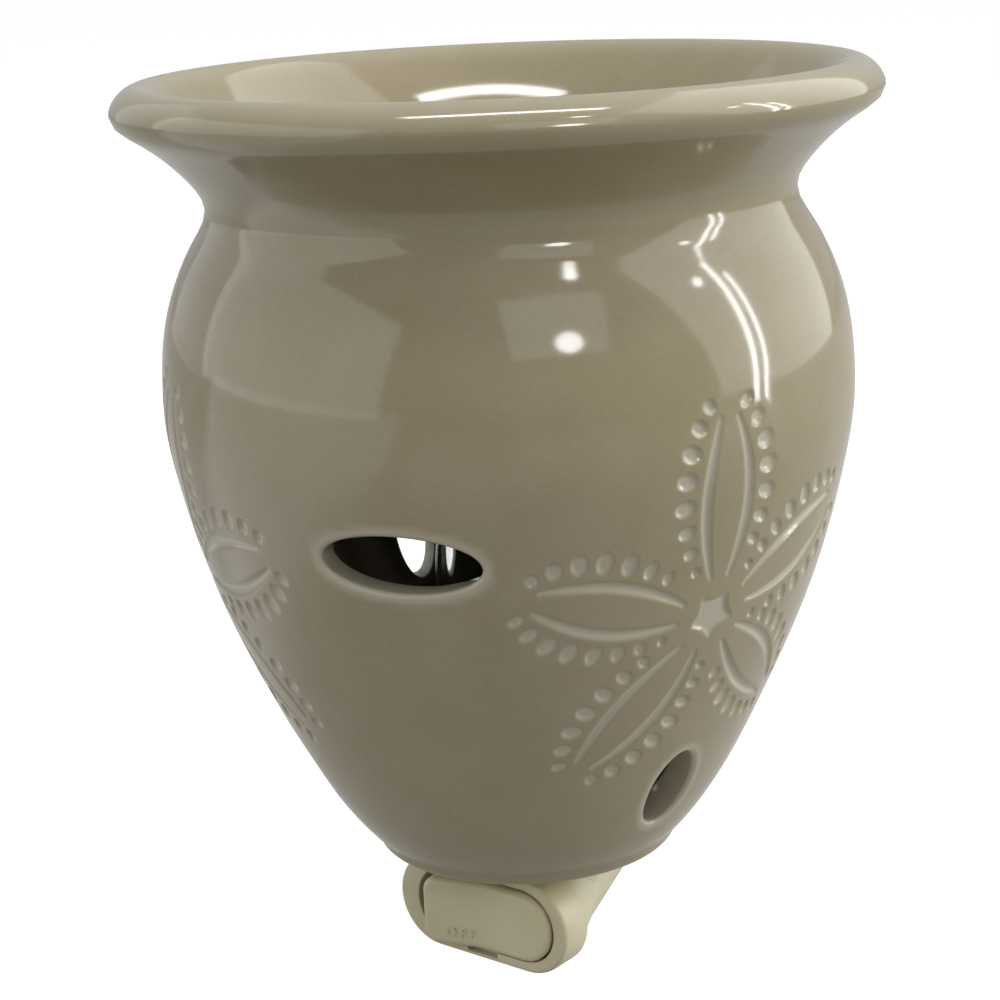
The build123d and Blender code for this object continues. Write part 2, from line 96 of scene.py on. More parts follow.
def smooth_curve(points: Sequence[Point], start: Point, end: Point, steps: int) -> list[Point]:
    """Sample the smooth curve through some points, with set directions at its ends.

    Args:
        points: Points that the curve passes, radius and height.
        start: Direction at the first point.
        end: Direction at the last point.
        steps: Number of runs that the curve is cut into.

    Returns:
        The first point, the points between and the last point.
    """
    knots = np.array(points, float)
    runs = np.linalg.norm(np.diff(knots, axis=0), axis=1)
    places = np.concatenate([[0.0], np.cumsum(runs)])
    count = len(knots)
    system = np.eye(count)
    wanted = np.zeros((count, 2))
    wanted[0] = np.array(start, float) / np.linalg.norm(start)
    wanted[-1] = np.array(end, float) / np.linalg.norm(end)
    for i in range(1, count - 1):
        before, after = runs[i - 1], runs[i]
        system[i, i - 1 : i + 2] = (after, 2 * (before + after), before)
        rise = after * (knots[i] - knots[i - 1]) / before + before * (knots[i + 1] - knots[i]) / after
        wanted[i] = 3 * rise
    slopes = np.linalg.solve(system, wanted)
    samples = []
    for place in np.linspace(0.0, places[-1], steps + 1):
        i = int(min(np.searchsorted(places, place, side="right") - 1, count - 2))
        run = runs[i]
        s = (place - places[i]) / run
        value = (
            (2 * s**3 - 3 * s**2 + 1) * knots[i]
            + (s**3 - 2 * s**2 + s) * run * slopes[i]
            + (3 * s**2 - 2 * s**3) * knots[i + 1]
            + (s**3 - s**2) * run * slopes[i + 1]
        )
        samples.append((float(value[0]), float(value[1])))
    return samples


def between(start: Point, end: Point, shares: Sequence[Point]) -> list[Point]:
    """Place points between two ends of a curve, by pairs of height share and radius share."""
    rise, swell = end[1] - start[1], end[0] - start[0]
    return [(start[0] + swell * across, start[1] + rise * up) for up, across in shares]


def quarter(steps: int) -> list[float]:
    """Angles from 0 to a quarter turn, in radians and in equal steps."""
    return [math.pi / 2 * k / steps for k in range(steps + 1)]


class Pick(Enum):
    """What edit mode selects."""

    POINTS = "VERT"
    EDGES = "EDGE"
    FACES = "FACE"


class Bench:
    """Blender's modelling tools, used as by hand on one object at a time."""

    @staticmethod
    def clear() -> None:
        """Go to object mode with nothing selected."""
        if bpy.context.object is not None and bpy.context.object.mode != "OBJECT":
            bpy.ops.object.mode_set(mode="OBJECT")
        bpy.ops.object.select_all(action="DESELECT")

    @staticmethod
    def hold(piece: Thing) -> None:
        """Select one object alone and make it active.

        Args:
            piece: The object.
        """
        Bench.clear()
        piece.select_set(True)
        bpy.context.view_layer.objects.active = piece

    @staticmethod
    def edit(piece: Thing, pick: Pick = Pick.POINTS) -> None:
        """Open one object for editing, with nothing selected.

        Args:
            piece: The object.
            pick: What is selected there.
        """
        Bench.hold(piece)
        bpy.ops.object.mode_set(mode="EDIT")
        bpy.ops.mesh.select_mode(type=pick.value)
        bpy.ops.mesh.select_all(action="DESELECT")

    @staticmethod
    def edit_faces(piece: Thing, flags: Grid) -> None:
        """Open one object for editing, with some of its faces selected.

        Args:
            piece: The object.
            flags: One truth value for each face.
        """
        Bench.edit(piece, Pick.FACES)
        Bench.done()
        piece.data.polygons.foreach_set("select", flags.astype(bool))
        bpy.ops.object.mode_set(mode="EDIT")

    @staticmethod
    def done() -> None:
        """Leave edit mode."""
        bpy.ops.object.mode_set(mode="OBJECT")

    @staticmethod
    def named(name: str) -> Thing:
        """Name the object that an operator has just made.

        Args:
            name: Its name.

        Returns:
            The object.
        """
        piece = bpy.context.object
        piece.name = name
        piece.data.name = name
        return piece

    @staticmethod
    def pick_edges(piece: Thing, test: Callable[[bmesh.types.BMEdge], bool]) -> int:
        """Select the edges of the open object that pass a test.

        Args:
            piece: The object, in edit mode.
            test: Says whether an edge is wanted.

        Returns:
            How many edges were selected.
        """
        shape = bmesh.from_edit_mesh(piece.data)
        found = 0
        for edge in shape.edges:
            wanted = bool(test(edge))
            edge.select_set(wanted)
            found += wanted
        shape.select_flush_mode()
        bmesh.update_edit_mesh(piece.data)
        return found

    @staticmethod
    def refine(piece: Thing, flags: Grid) -> None:
        """Cut the flagged faces into quarters.

        Args:
            piece: The object.
            flags: One truth value for each face.
        """
        Bench.edit_faces(piece, flags)
        bpy.ops.mesh.subdivide(number_cuts=1, smoothness=0.0)
        Bench.done()

    @staticmethod
    def lifted_out(piece: Thing, flags: Grid) -> Thing:
        """Separate the flagged faces from the others.

        Args:
            piece: The object.
            flags: One truth value for each face.

        Returns:
            A new object with these faces.
        """
        Bench.edit_faces(piece, flags)
        bpy.ops.mesh.separate(type="SELECTED")
        Bench.done()
        return next(other for other in bpy.context.selected_objects if other is not piece)

    @staticmethod
    def merged(piece: Thing) -> Thing:
        """Merge a closed piece's double points and turn its faces outwards.

        Args:
            piece: The object.

        Returns:
            The same object.
        """
        Bench.edit(piece)
        bpy.ops.mesh.select_all(action="SELECT")
        bpy.ops.mesh.remove_doubles(threshold=SAME_POINT)
        bpy.ops.mesh.normals_make_consistent(inside=False)
        Bench.done()
        return piece

    @staticmethod
    def joined(name: str, pieces: Sequence[Thing]) -> Thing:
        """Join some objects into the first and name it.

        Args:
            name: Name of the joined object.
            pieces: The objects.

        Returns:
            The joined object.
        """
        Bench.hold(pieces[0])
        for piece in pieces[1:]:
            piece.select_set(True)
        bpy.ops.object.join()
        return Bench.named(name)

    @staticmethod
    def outline(name: str, points: Sequence[Sequence[float]]) -> Thing:
        """Lay a closed ring of points.

        Args:
            name: Name of the object.
            points: The points in order, in millimetres.

        Returns:
            The object.
        """
        Bench.clear()
        bpy.ops.mesh.primitive_circle_add(vertices=len(points), radius=1.0, fill_type="NOTHING")
        piece = Bench.named(name)
        for vertex, place in zip(piece.data.vertices, points):
            vertex.co = Vector(place) * MM
        return piece

    @staticmethod
    def draw_out(piece: Thing, place: Callable[[float], Vector]) -> None:
        """Extrude the selected ring and put each new point where its number says.

        Args:
            piece: The object, in edit mode; its points carry their numbers under ORDER.
            place: Turns a number into a place in metres.
        """
        bpy.ops.mesh.extrude_edges_move()
        shape = bmesh.from_edit_mesh(piece.data)
        order = shape.verts.layers.float[ORDER]
        for vertex in shape.verts:
            if vertex.select:
                vertex.co = place(vertex[order])
        bmesh.update_edit_mesh(piece.data)

    @staticmethod
    def sleeve(name: str, rings: Sequence[Sequence[Spot]], closed: bool = False) -> Thing:
        """Extrude a ring of points again and again, each time into the next ring's shape.

        Args:
            name: Name of the object.
            rings: Rings of equally many points, in millimetres.
            closed: Join the last ring to the first; otherwise both ends are filled.

        Returns:
            The object with its normals outwards.
        """
        piece = Bench.outline(name, rings[0])
        order = piece.data.attributes.new(ORDER, "FLOAT", "POINT")
        order.data.foreach_set("value", [float(k) for k in range(len(rings[0]))])
        Bench.edit(piece, Pick.EDGES)
        bpy.ops.mesh.select_all(action="SELECT")
        for ring in rings[1:]:
            Bench.draw_out(piece, lambda number, ring=ring: Vector(ring[int(number)]) * MM)
        if closed:
            Bench.pick_edges(piece, lambda e: e.is_boundary)
            bpy.ops.mesh.bridge_edge_loops()
        else:
            bpy.ops.mesh.select_all(action="SELECT")
            bpy.ops.mesh.fill_holes(sides=0)
        Bench.done()
        piece.data.attributes.remove(piece.data.attributes[ORDER])
        return Bench.merged(piece)

    @staticmethod
    def turned(name: str, profile: Sequence[Point], steps: int) -> Thing:
        """Spin a profile round the Z axis into a closed body.

        Args:
            name: Name of the object.
            profile: Radius and height of each point, in millimetres, from the axis or a ring back to it.
            steps: Number of sides.

        Returns:
            The object with its normals outwards.
        """
        piece = Bench.outline(name, [(r, 0.0, h) for r, h in profile])
        Bench.edit(piece, Pick.EDGES)
        if Bench.pick_edges(piece, lambda e: all(abs(v.co.x) < SAME_POINT / 10 for v in e.verts)):
            bpy.ops.mesh.delete(type="EDGE")
        bpy.ops.mesh.select_all(action="SELECT")
        bpy.ops.mesh.spin(steps=steps, angle=math.tau, center=(0, 0, 0), axis=(0, 0, 1))
        Bench.done()
        return Bench.merged(piece)

    @staticmethod
    def settle(piece: Thing, place: Matrix, sharp: float) -> None:
        """Put a finished piece in its place, with the place in its mesh, and shade it.

        Args:
            piece: The object, modelled about the origin.
            place: Where it goes, with its shift in metres.
            sharp: Angle in degrees above which an edge stays sharp.
        """
        Bench.hold(piece)
        piece.data.transform(place)
        bpy.ops.object.shade_smooth_by_angle(angle=math.radians(sharp), keep_sharp_edges=True)


class Survey:
    """Readings over a whole mesh at once, in millimetres."""

    @staticmethod
    def points(mesh: Mesh) -> Grid:
        """Read the places of a mesh's points.

        Args:
            mesh: The mesh.

        Returns:
            Three rows, with each point's x, y and z.
        """
        places = np.zeros(len(mesh.vertices) * 3)
        mesh.vertices.foreach_get("co", places)
        return places.reshape(-1, 3).T / MM

    @staticmethod
    def by_face(mesh: Mesh, values: Grid, most: bool = False) -> Grid:
        """Find the least or the greatest of some values at each face's corners.

        Args:
            mesh: The mesh.
            values: One value for each of its points.
            most: Take the greatest.

        Returns:
            One value for each face.
        """
        corners, starts = np.zeros(len(mesh.loops), int), np.zeros(len(mesh.polygons), int)
        mesh.loops.foreach_get("vertex_index", corners)
        mesh.polygons.foreach_get("loop_start", starts)
        return (np.maximum if most else np.minimum).reduceat(values[corners], starts)

    @staticmethod
    def faces(mesh: Mesh) -> tuple[Grid, Grid]:
        """Read where a mesh's faces lie and how large they are.

        Args:
            mesh: The mesh.

        Returns:
            Three rows with the centres' x, y and z, and half of each face's diagonal.
        """
        centres = np.zeros(len(mesh.polygons) * 3)
        mesh.polygons.foreach_get("center", centres)
        axes = Survey.points(mesh)
        spans = [Survey.by_face(mesh, axis, True) - Survey.by_face(mesh, axis) for axis in axes]
        return centres.reshape(-1, 3).T / MM, np.linalg.norm(spans, axis=0) / 2


class Wire:
    """A shader socket that is added, subtracted and multiplied as a number is."""

    def __init__(self, recipe: "Recipe", socket: bpy.types.NodeSocket) -> None:
        """Wrap one output socket of a recipe."""
        self.recipe = recipe
        self.socket = socket

    def maths(self, operation: str, *values: Any) -> "Wire":
        """Add a Math node with its inputs in order, wires or numbers."""
        node = self.recipe.node("ShaderNodeMath", {"operation": operation}, dict(enumerate(values)))
        return Wire(self.recipe, node.outputs[0])

    def __add__(self, other: Any) -> "Wire":
        """Sum."""
        return self.maths("ADD", self, other)

    def __sub__(self, other: Any) -> "Wire":
        """Difference."""
        return self.maths("SUBTRACT", self, other)

    def __rsub__(self, other: Any) -> "Wire":
        """Difference from a number."""
        return self.maths("SUBTRACT", other, self)

    def __mul__(self, other: Any) -> "Wire":
        """Product."""
        return self.maths("MULTIPLY", self, other)

    __radd__ = __add__
    __rmul__ = __mul__

    def band(self, low: float, high: float) -> "Wire":
        """Rise smoothly from 0 at low to 1 at high."""
        node = self.recipe.node(
            "ShaderNodeMapRange",
            {"interpolation_type": "SMOOTHSTEP", "clamp": True},
            {"Value": self, "From Min": low, "From Max": high},
        )
        return Wire(self.recipe, node.outputs[0])


@dataclass(frozen=True)
class Noise:
    """A soft noise: cells per metre, octaves, the finer ones' weight and each axis's factor."""

    scale: float
    detail: float = 2.0
    roughness: float = 0.5
    stretch: Spot = (1, 1, 1)


class Recipe:
    """The node tree of one material."""

    def __init__(self, name: str) -> None:
        """Start an empty material.

        Args:
            name: Name of the material.
        """
        self.material = bpy.data.materials.new(name)
        self.material.use_nodes = True
        self.tree = self.material.node_tree
        self.tree.nodes.clear()
        self.place = self.node("ShaderNodeTexCoord").outputs["Object"]

    @classmethod
    def over(cls, tree: bpy.types.NodeTree) -> "Recipe":
        """Start an empty recipe in a node tree that is there already.

        Args:
            tree: The node tree, which is emptied.

        Returns:
            The recipe.
        """
        recipe = cls.__new__(cls)
        recipe.tree = tree
        tree.nodes.clear()
        return recipe

    def node(
        self, kind: str, settings: dict[str, Any] | None = None, sockets: dict[Any, Any] | None = None
    ) -> bpy.types.Node:
        """Add a node, set what it is, then fill its sockets.

        Args:
            kind: The node's type.
            settings: Its properties.
            sockets: Wires, sockets or plain values by input name or index.

        Returns:
            The node.
        """
        made = self.tree.nodes.new(kind)
        for key, value in (settings or {}).items():
            setattr(made, key, value)
        for key, value in (sockets or {}).items():
            target = made.inputs[key]
            if isinstance(value, Wire):
                value = value.socket
            if isinstance(value, bpy.types.NodeSocket):
                self.tree.links.new(value, target)
            else:
                target.default_value = value
        return made

    def noise(self, kind: Noise) -> Wire:
        """Soft noise over the piece.

        Args:
            kind: Its sizes.

        Returns:
            The noise, from 0 to 1.
        """
        placed = self.node("ShaderNodeMapping", {}, {"Vector": self.place, "Scale": kind.stretch})
        sockets = {"Vector": placed.outputs[0], "Scale": kind.scale}
        sockets |= {"Detail": kind.detail, "Roughness": kind.roughness}
        return Wire(self, self.node("ShaderNodeTexNoise", {}, sockets).outputs[0])

    def specks(
        self, scale: float, size: float, least: float, core: float = 0.5, step: float = 0.02
    ) -> Wire:
        """Small round specks, one near the middle of some cells.

        Args:
            scale: Cells per metre.
            size: Share of a cell that a speck reaches.
            least: A cell's own random value, from 0 to 1, above which it holds a speck.
            core: Share of a speck's size that is dark all over.
            step: How far above that value a cell's speck is whole.

        Returns:
            1 in a speck and 0 elsewhere.
        """
        cells = self.node("ShaderNodeTexVoronoi", {}, {"Vector": self.place, "Scale": scale})
        parts = self.node("ShaderNodeSeparateColor", {}, {0: cells.outputs["Color"]})
        chosen = Wire(self, parts.outputs[0]).band(least, least + step)
        return (1.0 - Wire(self, cells.outputs["Distance"]).band(size * core, size)) * chosen

    def mark(self, name: str) -> Wire:
        """Read a number that the mesh carries at its points."""
        return Wire(self, self.node("ShaderNodeAttribute", {"attribute_name": name}).outputs["Fac"])

    def mix(self, factor: Any, first: Any, second: Any) -> Wire:
        """Mix two colours or wires by a factor, 0 for the first and 1 for the second."""
        made = self.node(
            "ShaderNodeMix", {"data_type": "RGBA", "clamp_factor": True}, {0: factor, 6: first, 7: second}
        )
        return Wire(self, made.outputs[2])

    def bump(self, height: Wire, distance: float) -> Wire:
        """Turn a height from 0 to 1, which stands for a distance in millimetres, into a normal."""
        sockets = {"Height": height, "Distance": distance * MM, "Strength": 1.0}
        return Wire(self, self.node("ShaderNodeBump", {}, sockets).outputs[0])

    def close(self, kind: str, surface: bpy.types.Node) -> None:
        """Lead the last shader to the tree's output."""
        self.node(kind, {}, {"Surface": surface.outputs[0]})

    def finish(self, ground: Wire, roughness: Wire, normal: Wire, **constants: float) -> bpy.types.Material:
        """Close the material with its main shader.

        Args:
            ground: Base colour.
            roughness: Roughness.
            normal: Normal.
            **constants: Other sockets, with _ for a space in the name.

        Returns:
            The material.
        """
        sockets = {"Base Color": ground, "Roughness": roughness, "Normal": normal}
        sockets |= {name.replace("_", " "): value for name, value in constants.items()}
        self.close("ShaderNodeOutputMaterial", self.node("ShaderNodeBsdfPrincipled", {}, sockets))
        return self.material


@dataclass(frozen=True)
class Glaze:
    """Glossy warm grey-beige glaze over a pale clay, thinner and paler on edges and in the carving."""

    body: Colour = tone(153, 142, 116)
    cloud: Colour = tone(145, 135, 105)
    thin: Colour = tone(184, 178, 160)
    speck: Colour = tone(52, 44, 34)
    bare: Colour = tone(206, 198, 180)
    clouds: Noise = Noise(42.0, 3.0, 0.55)
    small_clouds: Noise = Noise(170.0)
    small_share: float = 0.35
    cloud_band: Point = (0.34, 0.66)
    cloud_share: float = 0.8
    grain: Noise = Noise(1500.0, 2.0, 0.6)
    grain_band: Point = (0.4, 0.75)
    grain_share: float = 0.08
    pits: Spot = (95.0, 0.035, 0.93)
    pit_share: float = 0.85
    pit_roughness: float = 0.3
    pit_depth: float = 0.5
    gloss: float = 0.075
    smears: Noise = Noise(60.0)
    smear_roughness: float = 0.03
    bare_roughness: float = 0.8
    swell: Noise = Noise(90.0, 1.0, 0.4)
    swell_height: float = 0.6
    pores: Noise = Noise(900.0)
    pore_height: float = 0.008
    relief: float = 0.04
    refraction: float = 1.52

    def material(self) -> bpy.types.Material:
        """Build the glaze.

        Returns:
            The material, which reads the marks thin_glaze and bare_foot of the mesh.
        """
        recipe = Recipe("glaze_taupe")
        small = recipe.noise(self.small_clouds) * self.small_share
        clouds = (recipe.noise(self.clouds) * (1 - self.small_share) + small).band(*self.cloud_band)
        grain = recipe.noise(self.grain).band(*self.grain_band)
        pits = recipe.specks(*self.pits)
        bare = recipe.mark("bare_foot")
        ground = recipe.mix(clouds * self.cloud_share, self.body, self.cloud)
        ground = recipe.mix(grain * self.grain_share, ground, self.thin)
        ground = recipe.mix(recipe.mark("thin_glaze"), ground, self.thin)
        ground = recipe.mix(pits * self.pit_share, ground, self.speck)
        ground = recipe.mix(bare, ground, self.bare)
        roughness = self.gloss + recipe.noise(self.smears) * self.smear_roughness
        roughness = roughness + pits * self.pit_roughness + bare * self.bare_roughness
        height = recipe.noise(self.swell) * self.swell_height + recipe.noise(self.pores) * self.pore_height
        normal = recipe.bump(height - pits * self.pit_depth, self.relief)
        return recipe.finish(ground, roughness, normal, IOR=self.refraction)


@dataclass(frozen=True)
class Moulding:
    """Moulded plastic with a faint mottle, a fine die grain and dirt that has settled in it."""

    name: str = "ivory_moulding"
    body: Colour = tone(210, 204, 177)
    aged: Colour = tone(198, 188, 151)
    dirt: Colour = tone(160, 148, 120)
    gloss: float = 0.36
    ageing: Noise = Noise(55.0, 3.0, 0.55)
    ageing_band: Point = (0.3, 0.7)
    aged_share: float = 0.55
    grime: Noise = Noise(330.0, 5.0, 0.65)
    grime_band: Point = (0.56, 0.78)
    dirt_share: float = 0.12
    dirt_roughness: float = 0.12
    grain: Noise = Noise(2600.0, 2.0, 0.6)
    grain_roughness: float = 0.10
    grain_height: float = 0.5
    waves: Noise = Noise(420.0)
    wave_height: float = 0.5
    relief: float = 0.012
    refraction: float = 1.49

    def material(self) -> bpy.types.Material:
        """Build the plastic.

        Returns:
            The material.
        """
        recipe = Recipe(self.name)
        ageing = recipe.noise(self.ageing).band(*self.ageing_band)
        grime = recipe.noise(self.grime).band(*self.grime_band)
        grain = recipe.noise(self.grain)
        ground = recipe.mix(ageing * self.aged_share, self.body, self.aged)
        ground = recipe.mix(grime * self.dirt_share, ground, self.dirt)
        roughness = self.gloss + grain * self.grain_roughness + grime * self.dirt_roughness
        height = grain * self.grain_height + recipe.noise(self.waves) * self.wave_height
        return recipe.finish(ground, roughness, recipe.bump(height, self.relief), IOR=self.refraction)


@dataclass(frozen=True)
class Metal:
    """Plated or plain metal with rolling marks, tarnish and a soft unevenness."""

    name: str
    body: Colour
    tarnish: Colour
    gloss: float = 0.24
    lines: Noise = Noise(700.0, 3.0, 0.6, (1.0, 1.0, 9.0))
    line_roughness: float = 0.14
    stains: Noise = Noise(160.0, 4.0, 0.6)
    stain_band: Point = (0.42, 0.74)
    stain_roughness: float = 0.12
    tarnish_share: float = 0.4
    relief: float = 0.006

    def material(self) -> bpy.types.Material:
        """Build the metal.

        Returns:
            The material.
        """
        recipe = Recipe(self.name)
        lines = recipe.noise(self.lines)
        stains = recipe.noise(self.stains).band(*self.stain_band)
        ground = recipe.mix(stains * self.tarnish_share, self.body, self.tarnish)
        roughness = self.gloss + lines * self.line_roughness + stains * self.stain_roughness
        return recipe.finish(ground, roughness, recipe.bump(lines, self.relief), Metallic=1.0)


@dataclass(frozen=True)
class Glass:
    """Clear glass with a breath of dust on it."""

    body: Colour = (0.97, 0.985, 0.98, 1.0)
    dust: Colour = tone(196, 192, 180)
    gloss: float = 0.015
    haze: Noise = Noise(240.0, 4.0, 0.6)
    haze_band: Point = (0.5, 0.85)
    haze_share: float = 0.2
    haze_roughness: float = 0.05
    waves: Noise = Noise(150.0)
    relief: float = 0.01
    refraction: float = 1.47

    def material(self) -> bpy.types.Material:
        """Build the glass.

        Returns:
            The material.
        """
        recipe = Recipe("bulb_clear")
        haze = recipe.noise(self.haze).band(*self.haze_band)
        ground = recipe.mix(haze * self.haze_share, self.body, self.dust)
        roughness = self.gloss + haze * self.haze_roughness
        normal = recipe.bump(recipe.noise(self.waves), self.relief)
        return recipe.finish(ground, roughness, normal, IOR=self.refraction, Transmission_Weight=1.0)


class Finish(Enum):
    """The finishes of the warmer, by the record's material slot."""

    GLAZE = "glaze"
    IVORY = "cream"
    SOCKET = "socket_white"
    BRASS = "brass"
    NICKEL = "nickel"
    STEEL = "steel"
    SPRING = "spring_steel"
    SOLDER = "solder"
    VITRITE = "cap_glass"
    TUNGSTEN = "tungsten"
    CLEAR = "clear_glass"

    def material(self) -> bpy.types.Material:
        """Give the finish's material, built on its first use.

        Returns:
            The material.
        """
        if self.value not in FINISHES:
            FINISHES[self.value] = RECIPES[self].material()
        return FINISHES[self.value]


FINISHES: dict[str, bpy.types.Material] = {}
RECIPES: dict[Finish, Any] = {
    Finish.GLAZE: Glaze(),
    Finish.IVORY: Moulding(),
    Finish.SOCKET: Moulding("socket_moulding", tone(222, 219, 208), tone(212, 206, 190), gloss=0.5),
    Finish.BRASS: Metal("brass_plain", tone(214, 178, 106), tone(150, 112, 62)),
    Finish.NICKEL: Metal("nickel_plate", tone(206, 201, 190), tone(168, 158, 140), gloss=0.18),
    Finish.STEEL: Metal("zinc_plate", tone(186, 187, 188), tone(140, 138, 134), gloss=0.3),
    Finish.SPRING: Metal("spring_strip", tone(178, 181, 186), tone(128, 126, 124), gloss=0.22),
    Finish.SOLDER: Metal("solder_bead", tone(190, 190, 190), tone(132, 132, 130), gloss=0.36),
    Finish.VITRITE: Moulding(
        "vitrite_black", tone(22, 22, 24), tone(34, 32, 32), tone(60, 56, 50), gloss=0.12
    ),
    Finish.TUNGSTEN: Metal("filament_wire", tone(120, 118, 116), tone(84, 82, 80), gloss=0.38),
    Finish.CLEAR: Glass(),
}
CARRIED_SLOTS = {row["node"]: row["material_slot"] for row in frame["record"]["subparts"]}


def hand_over(
    piece: Thing, body: str, finish: Finish, node: str, place: Matrix = IN_PLACE, sharp: float = 40.0
) -> None:
    """Put a finished piece in its place, dress it, let it ride, and report it.

    Args:
        piece: The finished object, modelled about the origin.
        body: The CAD body that it rides on.
        finish: Its finish.
        node: The CAD node that it replaces.
        place: Where it goes.
        sharp: Angle in degrees above which an edge stays sharp.
    """
    Bench.settle(piece, place, sharp)
    piece.data.materials.clear()
    piece.data.materials.append(finish.material())
    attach(piece, body)
    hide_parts(node)
    piece.data.calc_loop_triangles()
    log.info("%s: %d triangles, on %s", piece.name, len(piece.data.loop_triangles), body)


@dataclass(frozen=True)
class Slot:
    """An elliptical hole through one side of the shade, with softened rims."""

    turn: float
    level: float
    length: float
    height: float
    tilt: float = 0.0
    outer_rim: float = 0.75
    inner_rim: float = 0.6

    def local(self, places: Places) -> tuple[Grid, Grid, Grid]:
        """Turn places of the shade into ones along the slot's own axes.

        Args:
            places: Their x, y and height above the foot, each alone or in a row.

        Returns:
            Places along the slot's length, across it and outwards.
        """
        x, y, z = places
        turn, tilt = math.radians(self.turn), math.radians(self.tilt)
        across = x * math.cos(turn) + y * math.sin(turn)
        out = x * math.sin(turn) - y * math.cos(turn)
        up = z - self.level
        along = across * math.cos(tilt) - up * math.sin(tilt)
        return along, across * math.sin(tilt) + up * math.cos(tilt), out

    def gap(self, places: Places) -> Grid:
        """Measure how far places lie outside the slot's outline.

        Args:
            places: Their x, y and height above the foot, each alone or in a row.

        Returns:
            The distances, which are FAR on the shade's other side.
        """
        along, across, out = self.local(places)
        a, b = self.length / 2, self.height / 2
        reach = np.sqrt((along / a) ** 2 + (across / b) ** 2)
        slope = np.sqrt(along**2 / a**4 + across**2 / b**4) + TINY
        return np.where(out > 0, (reach - 1) * reach / slope, FAR)

    def ring_point(self, share: float, grow: float) -> Point:
        """Place on the outline, grown all round.

        Args:
            share: Angle round the ellipse.
            grow: How far outside the outline.

        Returns:
            Place across the slot's axis and height above the foot.
        """
        a, b = self.length / 2, self.height / 2
        normal = Vector((b * math.cos(share), a * math.sin(share))).normalized()
        along = a * math.cos(share) + grow * normal.x
        across = b * math.sin(share) + grow * normal.y
        cosine, sine = math.cos(math.radians(self.tilt)), math.sin(math.radians(self.tilt))
        return along * cosine + across * sine, self.level - along * sine + across * cosine

    def place(self, across: float, out: float, up: float) -> Vector:
        """Turn a place about the slot's axis into one of the shade, in metres."""
        cosine, sine = math.cos(math.radians(self.turn)), math.sin(math.radians(self.turn))
        return MM * Vector((across * cosine + out * sine, across * sine - out * cosine, up))


